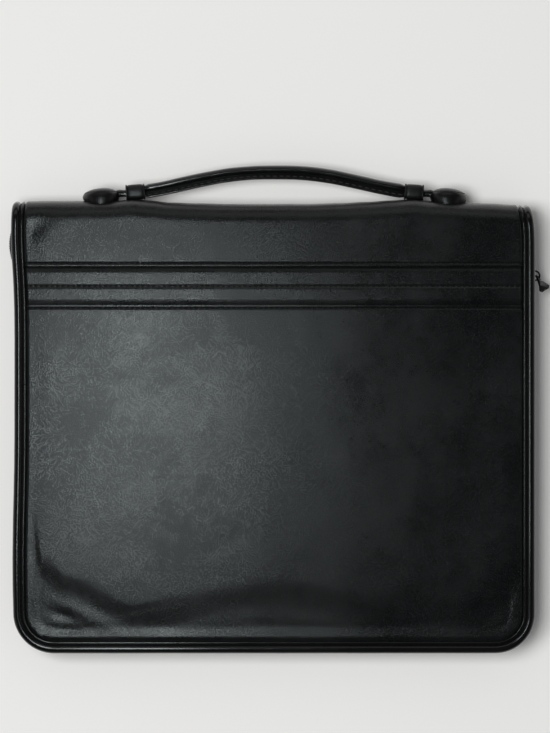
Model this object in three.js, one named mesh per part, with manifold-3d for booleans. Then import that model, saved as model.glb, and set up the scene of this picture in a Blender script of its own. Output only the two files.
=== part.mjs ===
// A zip-round leather document case, lying on its back.
// X runs along the spine, Y up to the handle, Z through the case from its back. Millimetres.
import * as THREE from 'three';
import { mergeVertices } from 'three/addons/utils/BufferGeometryUtils.js';
import Module from 'manifold-3d';

// Driving dimensions: the case
const caseWidth = 340;
const caseHeight = 296;
const caseDepth = 38;
const frontTaper = 2; // how much thinner the case is at its foot
const cornerRadius = 26;
const spineTurn = 12; // radius from the spine to the front and to the back
const spineBow = 2.6; // how far the spine sinks between and beside the handle's ends
const spineSwell = 0.8;
const edgeWander = 1.5;
const leather = 2.2;
const clearance = 0.3;
const panelCrown = 1.2;
const foldDepth = 1.5;
const sagDrop = 1.3; // how far the front drops from its padded middle to its lower margin
const sagReach = 10; // half the width of that slope

// Driving dimensions: the binding
const rollRadius = 2.75;
const bindingWidth = 9.1;
const bindingLeather = 1;
const beadRadius = 0.9;
const edgeDrop = 2.4; // how far the leather sinks to slip under the binding
const edgeFall = 7;

// Driving dimensions: the stitched band
const bandPlace = 43; // from the top of the spine to the upper seam
const bandWidth = 25.5;
const bandTuck = 6;
const bandLeather = 1.3;
const bandSwell = 1.5;
const padFullness = 0.5; // power of the two soft pads: less is fuller
const padMiddle = 0.3; // share of the swell that stays at the stitched middle
const padEdge = 0.2;

// Driving dimensions: the zip
const tapeThickness = 1;
const tapeInset = 2.6; // from the outer edge to the middle of the tape
const tapeTop = 0.92; // share of the spine's round that the tape climbs inside the binding
const chainWidth = 6;
const chainDepth = 2.6;
const chainSides = 8;
const chainSquareness = 1.08; // how far the corners of the eight-sided chain are cut back
const zipBulge = 3.6;
const zipGape = 1.2; // how far each open row stands off beyond the slider
const sliderPlace = 49; // from the top of the spine to the slider's middle
const sliderLength = 11;
const sliderWall = 1.3;
const sliderRounding = 3.1;
const bridgeSpan = 5.2;
const bridgeDepth = 3;
const bridgeWall = 1.1;
const bridgeWidth = 2;

// Driving dimensions: the pull
const pullLength = 11.2;
const pullWidth = 8;
const pullThickness = 1.2;
const pullArm = 1.3;
const pullWindow = 3.8;
const pullTurn = -58; // degrees from +X at which it lies
const pullTilt = 12; // degrees of slack about its own length
const pullEyeClearance = 0.5;
const pullTwist = 66; // degrees by which the end of the plate is turned against its eye
const pullCorner = 1.4;
const pullSteps = 5; // odd, so that no three corners of a side lie in one line

// Driving dimensions: the handle
const keeperPlace = 91.4; // from the middle of the case to the middle of a keeper
const keeperLength = 12.5;
const keeperHeight = 9.8;
const keeperDepth = 9.2;
const keeperWall = 0.9;
const keeperRim = 0.35;
const keeperRounding = 2.3;
const keeperPoints = 20;
const gripSeat = 5.8; // the grip's line above the spine at a keeper
const gripRise = 12.8;
const gripRoll = 2.5; // half height of the round upper part
const gripRollDepth = 3.4;
const gripFlange = 4.5;
const gripFlangeDepth = 1.5;
const gripCrease = 0.92; // how far round the roll goes before it meets the flange
const gripRimShare = 0.6; // rounding of the flange's lower edge
const gripShoulder = 0.3;
const gripEndFlat = 0.92; // how much flatter the grip is inside a keeper
const gripTaper = 2.5; // half keeper lengths over which it comes to full size
const gripRings = 30;
const tabLength = 33;
const tabWidth = 28;
const tabHeight = 8.4;
const tabRim = 2.2;
const neckWidth = 6.4;
const tabSeat = 0.45; // gap under a tab, more than its facets cut off the round spine
const tabFacets = 8;
const tabFullness = 0.7;
const tabLean = 0.04; // how far the top of a tab draws in from its rim

// How the spine sinks along its length, at shares of half the width
const spineLine = [
  { at: -1, dip: 0 }, { at: -0.5, dip: 0 }, { at: -0.4, dip: 0.5 }, { at: -0.3, dip: 0.8 },
  { at: -0.18, dip: 1 }, { at: 0.13, dip: 1 }, { at: 0.25, dip: 0.75 }, { at: 0.36, dip: 0.35 },
  { at: 0.45, dip: 0 }, { at: 0.62, dip: 0 }, { at: 0.8, dip: 0.75 }, { at: 0.93, dip: 1 }, { at: 1, dip: 1 },
];

// How the sides wander from straight: place and spread in shares of half the height
const sideWander = [
  { side: -1, at: -0.6, spread: 0.34, out: 0.9 },
  { side: 1, at: 1, spread: 0.09, out: -1.7 },
];

// Where the zip bulges: place and spread in shares of half the height
const zipBulges = [
  { side: -1, at: 0.8, spread: 0.1, out: 1 },
  { side: -1, at: -0.35, spread: 0.2, out: 0.3 },
  { side: 1, at: -0.1, spread: 0.25, out: 0.2 },
];

// Folds of the front: x and y in shares of half the width and height, long and wide in shares
// of the width, turn in degrees, rise in shares of the fold depth
const folds = [
  { x: -0.88, y: 0.88, turn: 40, long: 0.045, wide: 0.016, rise: -1 },
  { x: -0.7, y: -0.85, turn: -24, long: 0.07, wide: 0.014, rise: 0.3 },
  { x: -0.81, y: -0.83, turn: -12, long: 0.024, wide: 0.01, rise: -0.6 },
  { x: -0.81, y: -0.9, turn: -8, long: 0.024, wide: 0.009, rise: -0.5 },
  { x: 0.9, y: -0.84, turn: 60, long: 0.04, wide: 0.03, rise: 0.5 },
];

// Middle of the slope from the padded middle to the lower margin: shares of half the width and height
const sagLine = [
  { at: -0.96, y: -0.42 }, { at: -0.9, y: -0.62 }, { at: -0.8, y: -0.7 }, { at: -0.52, y: -0.84 },
  { at: 0, y: -0.75 }, { at: 0.48, y: -0.835 }, { at: 0.75, y: -0.83 }, { at: 0.93, y: -0.72 },
];

// The arch of the grip: shares of the way to a keeper and of the rise
const gripArch = [
  { at: 0, rise: 1 }, { at: 0.2, rise: 0.965 }, { at: 0.4, rise: 0.79 }, { at: 0.58, rise: 0.53 },
  { at: 0.75, rise: 0.262 }, { at: 0.9, rise: 0.06 }, { at: 1, rise: 0 },
];

// An oval tab from its tip to its neck: shares of its length, half width, height, and lift
const tabForm = [
  { at: 0, half: 0.29, top: 0.38, lift: 0 },
  { at: 0.03, half: 0.49, top: 0.54, lift: 0 },
  { at: 0.08, half: 0.69, top: 0.68, lift: 0 },
  { at: 0.15, half: 0.85, top: 0.81, lift: 0 },
  { at: 0.24, half: 0.96, top: 0.91, lift: 0 },
  { at: 0.34, half: 1, top: 0.97, lift: 0 },
  { at: 0.44, half: 0.95, top: 1, lift: 0 },
  { at: 0.52, half: 0.84, top: 1, lift: 0.08 },
  { at: 0.59, half: 0.66, top: 1, lift: 0.25 },
  { at: 0.64, half: 0.42, top: 0.97, lift: 0.55 },
  { at: 0.69, half: 0.12, top: 0.93, lift: 0.9 },
  { at: 0.74, half: 0, top: 0.92, lift: 1 },
  { at: 1, half: 0, top: 0.92, lift: 1 },
];

const halfWidth = caseWidth / 2;
const halfHeight = caseHeight / 2;
const margin = 2 * rollRadius + clearance; // from the outer edge to the cut edge of the leather
const bandHigh = halfHeight - bandPlace;
const bandLow = bandHigh - bandWidth;

const clamp = THREE.MathUtils.clamp;
const lerp = THREE.MathUtils.lerp;
const smoothstep = THREE.MathUtils.smoothstep;
const degrees = THREE.MathUtils.degToRad;

// Reads a column of a table at a place, with an even ease between its rows
function readTable(rows, at, column) {
  let next = rows.findIndex((row) => row.at > at);
  if (next < 0) next = rows.length;
  const low = rows[Math.max(next - 1, 0)];
  const high = rows[Math.min(next, rows.length - 1)];
  if (low === high) return low[column];
  return lerp(low[column], high[column], smoothstep(at, low.at, high.at));
}

// Sum of the bumps of one side at a height
function sumBumps(rows, side, y) {
  return rows
    .filter((row) => row.side === side)
    .reduce((sum, row) => sum + row.out * Math.exp(-(((y / halfHeight - row.at) / row.spread) ** 2)), 0);
}

const sideReach = (side, y) => halfWidth + edgeWander * sumBumps(sideWander, side, y);
const spineTop = (x) => halfHeight - spineBow * readTable(spineLine, x / halfWidth, 'dip');
const turnStart = (x) => spineTop(x) - spineSwell - spineTurn;
const frontBase = (y) => caseDepth - frontTaper * clamp((halfHeight - y) / caseHeight, 0, 1);

// Distance from a point of the face to the outer edge of the case
function edgeDistance(x, y) {
  const fromSide = sideReach(x < 0 ? -1 : 1, y) - Math.abs(x);
  const fromFoot = y + halfHeight;
  if (fromSide < cornerRadius && fromFoot < cornerRadius) {
    return cornerRadius - Math.hypot(cornerRadius - fromSide, cornerRadius - fromFoot);
  }
  return Math.min(fromSide, fromFoot);
}

const edgeSink = (distance) => edgeDrop * (1 - smoothstep(distance, bindingWidth, bindingWidth + edgeFall));

// Height that the crown, the folds and the sag add to the front
function frontRelief(x, y) {
  const across = x / halfWidth;
  const along = clamp(y / halfHeight, -1, 1);
  const crown = panelCrown * (1 - across ** 2) * (1 - along ** 2);
  let fold = 0;
  for (const row of folds) {
    const dx = x - row.x * halfWidth;
    const dy = y - row.y * halfHeight;
    const turn = degrees(row.turn);
    const a = (dx * Math.cos(turn) + dy * Math.sin(turn)) / (row.long * caseWidth);
    const b = (dy * Math.cos(turn) - dx * Math.sin(turn)) / (row.wide * caseWidth);
    fold += row.rise * foldDepth * Math.exp(-a * a - b * b);
  }
  const below = readTable(sagLine, across, 'y') * halfHeight - y;
  const sag = sagDrop * smoothstep(below, -sagReach, sagReach);
  const fromEdge = edgeDistance(x, y);
  const sagged = sag * smoothstep(fromEdge, bindingWidth, bindingWidth + edgeFall);
  return crown - sagged + fold * smoothstep(fromEdge, bindingWidth, bindingWidth + 2 * edgeFall);
}

const frontHeight = (x, y) => frontBase(y) + frontRelief(x, y) - edgeSink(edgeDistance(x, y));

// Lowest y of the leather's cut edge at a share of the width
function footLine(share) {
  const reach = sideReach(share < 0 ? -1 : 1, cornerRadius - halfHeight);
  const past = Math.max(Math.abs(share) * (reach - margin) - (reach - cornerRadius), 0);
  return cornerRadius - halfHeight - Math.sqrt(Math.max((cornerRadius - margin) ** 2 - past ** 2, 0));
}

const acrossCase = (share, y) => share * (sideReach(share < 0 ? -1 : 1, y) - margin);

// Shares of the half width at which every piece of the front has its sections: close together at
// the sides and over the folds
const frontShares = [
  -1, -0.992, -0.97, -0.935, -0.9, -0.86, -0.82, -0.78, -0.74, -0.7, -0.65, -0.58, -0.5, -0.4,
  -0.28, -0.12, 0.05, 0.22, 0.4, 0.56, 0.7, 0.8, 0.88, 0.935, 0.97, 0.992, 1,
];

const evenShares = (count) => Array.from({ length: count + 1 }, (_, i) => i / count);

// One closed geometry from points and triangles, with its faces turned outwards
function closedGeometry(points, triangles) {
  let volume = 0;
  for (let i = 0; i < triangles.length; i += 3) {
    const [a, b, c] = [points[triangles[i]], points[triangles[i + 1]], points[triangles[i + 2]]];
    volume += a.dot(b.clone().cross(c));
  }
  const index = volume < 0 ? triangles.slice().reverse() : triangles;
  const geometry = new THREE.BufferGeometry().setFromPoints(points);
  geometry.setIndex(index);
  geometry.computeVertexNormals();
  return geometry;
}

// A wall between an outer and an inner face on one grid: place(u, v, depth) with depth 0 or 1
function wallGeometry(place, us, vs) {
  const points = [];
  const triangles = [];
  for (const depth of [0, 1]) {
    for (const u of us) {
      for (const v of vs) points.push(place(u, v, depth));
    }
  }
  const id = (i, j, depth) => depth * us.length * vs.length + i * vs.length + j;
  const quad = (a, b, c, d) => triangles.push(a, b, c, a, c, d);
  const [lastU, lastV] = [us.length - 1, vs.length - 1];
  for (let i = 0; i < lastU; i += 1) {
    for (let j = 0; j < lastV; j += 1) {
      quad(id(i, j, 0), id(i + 1, j, 0), id(i + 1, j + 1, 0), id(i, j + 1, 0));
      quad(id(i, j, 1), id(i, j + 1, 1), id(i + 1, j + 1, 1), id(i + 1, j, 1));
    }
    quad(id(i, 0, 0), id(i, 0, 1), id(i + 1, 0, 1), id(i + 1, 0, 0));
    quad(id(i, lastV, 0), id(i + 1, lastV, 0), id(i + 1, lastV, 1), id(i, lastV, 1));
  }
  for (let j = 0; j < lastV; j += 1) {
    quad(id(0, j, 0), id(0, j + 1, 0), id(0, j + 1, 1), id(0, j, 1));
    quad(id(lastU, j, 0), id(lastU, j, 1), id(lastU, j + 1, 1), id(lastU, j + 1, 0));
  }
  return closedGeometry(points, triangles);
}

// A body through rings of as many points each: a closed loop, or capped at its two ends
function ringGeometry(rings, looped) {
  const count = rings[0].length;
  const points = rings.flat();
  const triangles = [];
  const last = looped ? rings.length : rings.length - 1;
  for (let i = 0; i < last; i += 1) {
    const [here, there] = [i * count, ((i + 1) % rings.length) * count];
    for (let j = 0; j < count; j += 1) {
      const k = (j + 1) % count;
      triangles.push(here + j, there + j, there + k, here + j, there + k, here + k);
    }
  }
  if (!looped) {
    const contours = [rings[0], rings[rings.length - 1]];
    contours.forEach((ring, end) => {
      const start = end * (rings.length - 1) * count;
      for (let j = 1; j < count / 2; j += 1) {
        const [a, b, c, d] = [j - 1, j, count - 1 - j, count - j].map((n) => start + (n % count));
        for (const face of [[a, b, c], [a, c, d]]) triangles.push(...(end ? face.reverse() : face));
      }
    });
  }
  return closedGeometry(points, triangles);
}

// The section of the cover from the foot of its back, round the spine, to the upper seam: a
// place on it by part number plus share, with the outward direction
function coverSection(v, share, x) {
  const part = Math.min(Math.floor(v), 4);
  const t = v - part;
  const turnY = turnStart(x);
  const flatY = spineTop(x) - spineSwell;
  if (part === 0) return { y: lerp(footLine(share), turnY, t), z: 0, outY: 0, outZ: -1 };
  if (part === 4) {
    const y = lerp(turnY, bandHigh, t);
    return { y, z: frontBase(y), outY: 0, outZ: 1 };
  }
  if (part === 2) {
    const z = lerp(spineTurn, frontBase(turnY) - spineTurn, t);
    return { y: flatY + spineSwell * Math.sin(Math.PI * t), z, outY: 1, outZ: 0 };
  }
  const centreZ = part === 1 ? spineTurn : frontBase(turnY) - spineTurn;
  const angle = (Math.PI / 2) * (part === 1 ? t - 1 : t);
  const [outY, outZ] = [Math.cos(angle), Math.sin(angle)];
  return { y: turnY + spineTurn * outY, z: centreZ + spineTurn * outZ, outY, outZ };
}

function coverPoint(share, v, depth) {
  const rough = share * (halfWidth - margin);
  const section = coverSection(v, share, rough);
  const x = acrossCase(share, section.y);
  const onFace = v < 1 || v > 4;
  const distance = onFace ? edgeDistance(x, section.y) : sideReach(x < 0 ? -1 : 1, section.y) - Math.abs(x);
  const crown = v > 3 ? frontRelief(x, section.y) * clamp(v - 3, 0, 1) : 0;
  const out = crown - edgeSink(distance) - depth * leather;
  return new THREE.Vector3(x, section.y + section.outY * out, section.z + section.outZ * out);
}

// Stations along the outer edge of the face, from the top of the left side to that of the right,
// each with the direction into the face
function edgeStations(leftTop, rightTop, sideShares, cornerSteps, footSteps) {
  const cornerY = cornerRadius - halfHeight;
  const side = (sign, top) =>
    sideShares.map((share) => {
      const y = lerp(top, cornerY, share);
      return { x: sign * sideReach(sign, y), y, inX: -sign, inY: 0 };
    });
  const corner = (sign) =>
    evenShares(cornerSteps).slice(1, -1).map((share) => {
      const angle = (Math.PI / 2) * share;
      const [inX, inY] = [-sign * Math.cos(angle), Math.sin(angle)];
      const centreX = sign * (sideReach(sign, cornerY) - cornerRadius);
      return { x: centreX - cornerRadius * inX, y: cornerY - cornerRadius * inY, inX, inY };
    });
  const footLeft = cornerRadius - sideReach(-1, cornerY);
  const footRight = sideReach(1, cornerY) - cornerRadius;
  const foot = evenShares(footSteps).map((share) => {
    return { x: lerp(footLeft, footRight, share), y: -halfHeight, inX: 0, inY: 1 };
  });
  const right = [...corner(1).reverse(), ...side(1, rightTop).reverse()];
  return [...side(-1, leftTop), ...corner(-1), ...foot, ...right];
}

// Section of the binding: u from the outer edge inwards, w out of the face
function bindingProfile() {
  const flangeUnder = clearance - edgeDrop;
  const flangeTop = flangeUnder + bindingLeather;
  const rollW = -clearance - rollRadius; // the roll stays just below the face, so the back rests flat
  const beadU = bindingWidth - beadRadius;
  const beadW = flangeUnder + beadRadius;
  const profile = [];
  const rollFrom = Math.asin((flangeTop - rollW) / rollRadius);
  const rollTo = 2 * Math.PI + Math.asin((flangeUnder - rollW) / rollRadius);
  for (const share of evenShares(9)) {
    const angle = lerp(rollFrom, rollTo, share);
    profile.push([rollRadius + rollRadius * Math.cos(angle), rollW + rollRadius * Math.sin(angle)]);
  }
  for (const angle of [-90, -20, 40, 100, 170].map(degrees)) {
    profile.push([beadU + beadRadius * Math.cos(angle), beadW + beadRadius * Math.sin(angle)]);
  }
  return profile;
}

const sideSteps = [0, 0.05, 0.12, 0.28, 0.46, 0.64, 0.82, 1];

// The binding runs round the front, over one end of the spine, round the back and over the other
function bindingRings() {
  const [left, right] = [-1, 1].map((side) => turnStart(side * halfWidth));
  const face = edgeStations(left, right, sideSteps, 7, 4);
  const profile = bindingProfile();
  const ring = (x, y, z, inX, inY, outY, outZ) =>
    profile.map(([u, w]) => new THREE.Vector3(x + inX * u, y + inY * u + outY * w, z + outZ * w));
  const front = face.map((s) => ring(s.x, s.y, frontBase(s.y), s.inX, s.inY, 0, 1));
  const back = face.map((s) => ring(s.x, s.y, 0, s.inX, s.inY, 0, -1));
  const overSpine = (side) =>
    [1.25, 1.5, 1.75, 2, 2.5, 3, 3.25, 3.5, 3.75].map((v) => {
      const { y, z, outY, outZ } = coverSection(v, side, side * halfWidth);
      return ring(side * sideReach(side, y), y, z, -side, 0, outY, outZ);
    });
  return [...front, ...overSpine(1).reverse(), ...back.reverse(), ...overSpine(-1)];
}

// The zip's middle line and how far its tapes reach towards the bindings
const zipMiddle = (y) => frontBase(y) / 2;
const bindingInner = 2 * rollRadius + clearance; // depth of the roll below the face

function tapeReach(side, y) {
  const start = turnStart(side * halfWidth);
  const straight = frontBase(y) - bindingInner - clearance;
  if (y <= start) return straight;
  const inner = spineTurn - bindingInner - clearance;
  return frontBase(start) - spineTurn + Math.sqrt(Math.max(inner ** 2 - (y - start) ** 2, 0));
}

const zipOut = (side, y) => zipBulge * sumBumps(zipBulges, side, y);
const sliderY = halfHeight - sliderPlace;

// How far the zip gapes at a station beyond the slider
function gapeAt(station) {
  const isOpen = station.inX < 0 && station.y > sliderY;
  return isOpen ? zipGape * smoothstep(station.y, sliderY, halfHeight - spineTurn) : 0;
}

const zipSteps = [0, 0.04, 0.08, 0.12, 0.17, 0.23, 0.32, 0.45, 0.6, 0.8, 1];

function zipStations() {
  const top = (side) => turnStart(side * halfWidth) + (spineTurn - bindingInner - clearance) * tapeTop;
  return edgeStations(top(-1), top(1), zipSteps, 6, 6);
}

function tapeGeometry(facing) {
  const stations = zipStations();
  const place = (i, v, depth) => {
    const s = stations[i];
    const side = s.x < 0 ? -1 : 1;
    const inner = chainWidth / 2 + clearance + gapeAt(s);
    const reach = tapeReach(side, s.y) - zipMiddle(s.y);
    const out = zipOut(side, s.y) * Math.abs(s.inX) * (1 - v ** 2);
    const inset = tapeInset - out + (depth - 0.5) * tapeThickness;
    const z = zipMiddle(s.y) + facing * lerp(inner, reach, v);
    return new THREE.Vector3(s.x + s.inX * inset, s.y + s.inY * inset, z);
  };
  return wallGeometry(place, [...stations.keys()], [0, 0.35, 1]);
}

// A run of teeth along some stations: half width and place across the zip by functions
function teethGeometry(stations, half, offset) {
  const rings = stations.map((s) => {
    const side = s.x < 0 ? -1 : 1;
    const inset = tapeInset - zipOut(side, s.y) * Math.abs(s.inX);
    return evenShares(chainSides).slice(0, -1).map((share) => {
      const angle = 2 * Math.PI * (share + 0.5 / chainSides);
      const squared = 1 / Math.max(Math.abs(Math.cos(angle)), Math.abs(Math.sin(angle))) / chainSquareness;
      const u = inset + (chainDepth / 2) * Math.cos(angle) * squared;
      const z = zipMiddle(s.y) + offset(s) + half * Math.sin(angle) * squared;
      return new THREE.Vector3(s.x + s.inX * u, s.y + s.inY * u, z);
    });
  });
  return ringGeometry(rings, false);
}

const onRight = (s) => s.inX < 0 && s.inY === 0;
const rightStation = (y) => ({ x: sideReach(1, y), y, inX: -1, inY: 0 });

function closedTeeth() {
  const before = zipStations().filter((s) => !onRight(s) || s.y < sliderY - sliderLength / 2);
  return teethGeometry([...before, rightStation(sliderY)], chainWidth / 2, () => 0);
}

function openTeeth(facing) {
  const start = sliderY + 2 * clearance;
  const beyond = zipStations().filter((s) => onRight(s) && s.y > sliderY + sliderLength / 2);
  const half = (chainWidth / 2 - clearance) / 2;
  const offset = (s) => facing * (half + clearance + gapeAt(s));
  return teethGeometry([rightStation(start), ...beyond], half, offset);
}

// Slider: a channel over the teeth with a bridge for the pull
const sliderFace = sideReach(1, sliderY) - tapeInset + chainDepth / 2 + clearance;
const sliderTop = sliderFace + sliderWall;
const sliderZ = zipMiddle(sliderY);
const pivotX = sliderTop + bridgeDepth / 2;

const wasm = await Module();
wasm.setup();

// A solid for cutting and joining, from a three.js geometry
function solidOf(geometry) {
  const bare = geometry.clone();
  bare.deleteAttribute('normal');
  bare.deleteAttribute('uv');
  const merged = mergeVertices(bare, 1e-4);
  return new wasm.Manifold(new wasm.Mesh({
    numProp: 3,
    vertProperties: new Float32Array(merged.attributes.position.array),
    triVerts: new Uint32Array(merged.index.array),
  }));
}

function geometryOf(solid) {
  const mesh = solid.getMesh();
  const geometry = new THREE.BufferGeometry();
  geometry.setAttribute('position', new THREE.BufferAttribute(new Float32Array(mesh.vertProperties), 3));
  geometry.setIndex(new THREE.BufferAttribute(new Uint32Array(mesh.triVerts), 1));
  geometry.computeVertexNormals();
  return geometry;
}

// A rounded rectangle about the origin
function roundedShape(width, height, radius) {
  const [x, y] = [width / 2, height / 2];
  const shape = new THREE.Shape();
  shape.moveTo(radius - x, -y);
  shape.lineTo(x - radius, -y);
  shape.absarc(x - radius, radius - y, radius, -Math.PI / 2, 0);
  shape.lineTo(x, y - radius);
  shape.absarc(x - radius, y - radius, radius, 0, Math.PI / 2);
  shape.lineTo(radius - x, y);
  shape.absarc(radius - x, y - radius, radius, Math.PI / 2, Math.PI);
  shape.lineTo(-x, radius - y);
  shape.absarc(radius - x, radius - y, radius, Math.PI, 1.5 * Math.PI);
  return shape;
}

const extrude = (shape, depth, curveSegments) =>
  new THREE.ExtrudeGeometry(shape, { depth, bevelEnabled: false, curveSegments });

function sliderGeometry() {
  const flange = tapeInset - tapeThickness / 2 - clearance - (halfWidth - sliderFace);
  const width = chainWidth + 2 * (clearance + sliderWall);
  const body = extrude(roundedShape(sliderLength, width, sliderRounding), sliderWall + flange, 4);
  body.rotateX(-Math.PI / 2); // length along X, width along Z, depth along Y
  body.rotateZ(-Math.PI / 2); // length along Y, depth along X
  body.translate(sliderTop - sliderWall - flange, sliderY, sliderZ);
  const channel = new THREE.BoxGeometry(2 * flange, 2 * sliderLength, chainWidth + 2 * clearance);
  channel.translate(sliderFace - flange, sliderY, sliderZ);
  const arch = new THREE.Shape();
  arch.absellipse(0, 0, bridgeDepth + bridgeWall, bridgeSpan / 2 + bridgeWall, -Math.PI / 2, Math.PI / 2);
  arch.lineTo(-sliderWall / 2, bridgeSpan / 2 + bridgeWall);
  arch.lineTo(-sliderWall / 2, bridgeSpan / 2);
  arch.lineTo(0, bridgeSpan / 2);
  arch.absellipse(0, 0, bridgeDepth, bridgeSpan / 2, Math.PI / 2, -Math.PI / 2, true);
  arch.lineTo(-sliderWall / 2, -bridgeSpan / 2);
  arch.lineTo(-sliderWall / 2, -bridgeSpan / 2 - bridgeWall);
  const bridge = extrude(arch, bridgeWidth, 5);
  bridge.translate(sliderTop, sliderY, sliderZ - bridgeWidth / 2);
  return geometryOf(solidOf(body).subtract(solidOf(channel)).add(solidOf(bridge)));
}

// Pull: a plate with an eye, drawn along +X from the bar that turns in the bridge
function pullGeometry() {
  const eyeHalf = bridgeWidth / 2 + pullEyeClearance;
  const bar = pullThickness / 2;
  const neck = eyeHalf + pullArm;
  const wide = pullWidth / 2;
  const side = evenShares(pullSteps).map((share) => [
    lerp(pullWindow + bar, pullLength - pullCorner, share),
    lerp(neck, wide, smoothstep(share, 0, 1)),
  ]);
  const upper = [[-bar, neck], ...side, [pullLength, wide - pullCorner]];
  const lower = upper.map(([x, y]) => [x, -y]);
  const shape = new THREE.Shape([...lower, ...upper.reverse()].map(([x, y]) => new THREE.Vector2(x, y)));
  const eye = new THREE.Path();
  eye.moveTo(bar, -eyeHalf);
  eye.lineTo(bar, eyeHalf);
  eye.lineTo(pullWindow, eyeHalf);
  eye.lineTo(pullWindow, -eyeHalf);
  shape.holes.push(eye);
  const plate = extrude(shape, pullThickness, 1);
  plate.translate(0, 0, -pullThickness / 2);
  const corners = plate.getAttribute('position');
  for (let i = 0; i < corners.count; i += 1) {
    const along = clamp((corners.getX(i) - pullWindow) / (pullLength - pullWindow), 0, 1);
    const turn = degrees(pullTwist) * along;
    const [across, out] = [corners.getY(i), corners.getZ(i)];
    corners.setY(i, across * Math.cos(turn) - out * Math.sin(turn));
    corners.setZ(i, across * Math.sin(turn) + out * Math.cos(turn));
  }
  return plate;
}

// The grip's line, from keeper to keeper, in the middle plane of the case
const handleZ = caseDepth / 2;
const gripPoints = [...gripArch.slice(1).reverse().map((row) => ({ ...row, at: -row.at })), ...gripArch]
  .map((row) => new THREE.Vector3(
    row.at * keeperPlace,
    halfHeight + gripSeat + gripRise * row.rise,
    handleZ,
  ));
const gripLine = new THREE.CatmullRomCurve3(gripPoints);

// Section of the grip: a round roll above a flat stitched flange; n away from the spine
function gripSection() {
  const centre = gripRoll - clearance;
  const crease = Math.asin(-centre / gripRoll) * gripCrease;
  const roll = evenShares(8).map((share) => {
    const angle = lerp(crease, Math.PI - crease, share);
    return [centre + gripRoll * Math.sin(angle), gripRollDepth * Math.cos(angle)];
  });
  const rim = gripFlangeDepth * gripRimShare;
  return [
    ...roll,
    [-gripFlangeDepth * gripShoulder, -gripFlangeDepth],
    [rim - gripFlange, -gripFlangeDepth],
    [-gripFlange, -rim],
    [-gripFlange, rim],
    [rim - gripFlange, gripFlangeDepth],
    [-gripFlangeDepth * gripShoulder, gripFlangeDepth],
  ];
}

function frameAt(line, share) {
  const at = line.getPointAt(share);
  const along = line.getTangentAt(share);
  return { at, along, up: new THREE.Vector3(-along.y, along.x, 0) };
}

function gripGeometry() {
  const section = gripSection();
  const keeperInside = keeperHeight / 2 - keeperWall - clearance;
  const endSize = keeperInside / gripFlange;
  const endShare = keeperLength / 2 / gripLine.getLength();
  const rings = evenShares(gripRings).map((share) => {
    const { at, up } = frameAt(gripLine, share);
    const grown = smoothstep(Math.min(share, 1 - share), endShare, gripTaper * endShare);
    const size = lerp(endSize, 1, grown);
    const flat = lerp(gripEndFlat, 1, grown);
    return section.map(([n, z]) => {
      return at.clone().addScaledVector(up, n * size).add(new THREE.Vector3(0, 0, z * size * flat));
    });
  });
  return ringGeometry(rings, false);
}

// A keeper: a leather sleeve with a raised rim at each end, round the grip's line
function keeperGeometry(side) {
  const share = side < 0 ? 0 : 1;
  const { at, along, up } = frameAt(gripLine, share);
  const outline = roundedShape(keeperHeight, keeperDepth, keeperRounding);
  const loop = outline.getSpacedPoints(keeperPoints).slice(0, -1);
  const rimAt = keeperLength / 2 - keeperRim;
  const profile = [
    { s: -keeperLength / 2, r: -keeperWall },
    { s: keeperLength / 2, r: -keeperWall },
    { s: keeperLength / 2, r: 0 },
    { s: rimAt, r: keeperRim },
    { s: rimAt - 2 * keeperRim, r: 0 },
    { s: 2 * keeperRim - rimAt, r: 0 },
    { s: -rimAt, r: keeperRim },
    { s: -keeperLength / 2, r: 0 },
  ];
  const rings = loop.map((p) => profile.map(({ s, r }) => {
    const n = p.x * (1 + (2 * r) / keeperHeight);
    const z = p.y * (1 + (2 * r) / keeperDepth);
    return at.clone().addScaledVector(along, s).addScaledVector(up, n).add(new THREE.Vector3(0, 0, z));
  }));
  return ringGeometry(rings, true);
}

// Height of the spine's outer face at a place on it
function spineAt(x, z) {
  const flat = spineTop(x) - spineSwell;
  const front = frontBase(turnStart(x)) - spineTurn;
  if (z >= spineTurn && z <= front) {
    return flat + spineSwell * Math.sin((Math.PI * (z - spineTurn)) / (front - spineTurn));
  }
  const past = z > front ? z - front : spineTurn - z;
  return flat - spineTurn + Math.sqrt(Math.max(spineTurn ** 2 - past ** 2, 0));
}

// An oval padded tab on the spine, whose neck goes into the keeper
function tabGeometry(side) {
  const neckEnd = keeperPlace + 2 * clearance;
  const neckHalf = neckWidth / 2;
  const neckUnder = gripSeat - (keeperHeight / 2 - keeperWall) + 2 * clearance;
  const rings = tabForm.map((row) => {
    const x = side * (neckEnd + tabLength * (1 - row.at));
    const half = lerp(neckHalf, tabWidth / 2, row.half);
    const top = halfHeight + tabHeight * row.top;
    const under = evenShares(tabFacets).map((share) => {
      const z = handleZ + half * (2 * share - 1);
      const rest = spineAt(x, z) + tabSeat;
      return new THREE.Vector3(x, lerp(rest, halfHeight + neckUnder, row.lift), z);
    });
    const over = under.map((point, i) => {
      const q = (2 * i) / tabFacets - 1;
      const rim = point.y + Math.min(tabRim, (top - point.y) / 2);
      const dome = (1 - q * q) ** tabFullness;
      return new THREE.Vector3(x, lerp(rim, Math.max(top, rim), dome), lerp(point.z, handleZ, tabLean));
    });
    return [...under, ...over.reverse()];
  });
  return ringGeometry(rings, false);
}

// Front pieces on the same height as the rest of the front
function frontPanelGeometry() {
  const place = (share, v, depth) => {
    const y = lerp(footLine(share), bandLow, v);
    const x = acrossCase(share, y);
    return new THREE.Vector3(x, y, frontHeight(x, y) - depth * leather);
  };
  const rows = [
    0, 0.012, 0.03, 0.055, 0.08, 0.105, 0.13, 0.16, 0.19, 0.22, 0.26, 0.32, 0.4, 0.5, 0.62, 0.75, 0.88, 1,
  ];
  return wallGeometry(place, frontShares, rows);
}

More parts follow.
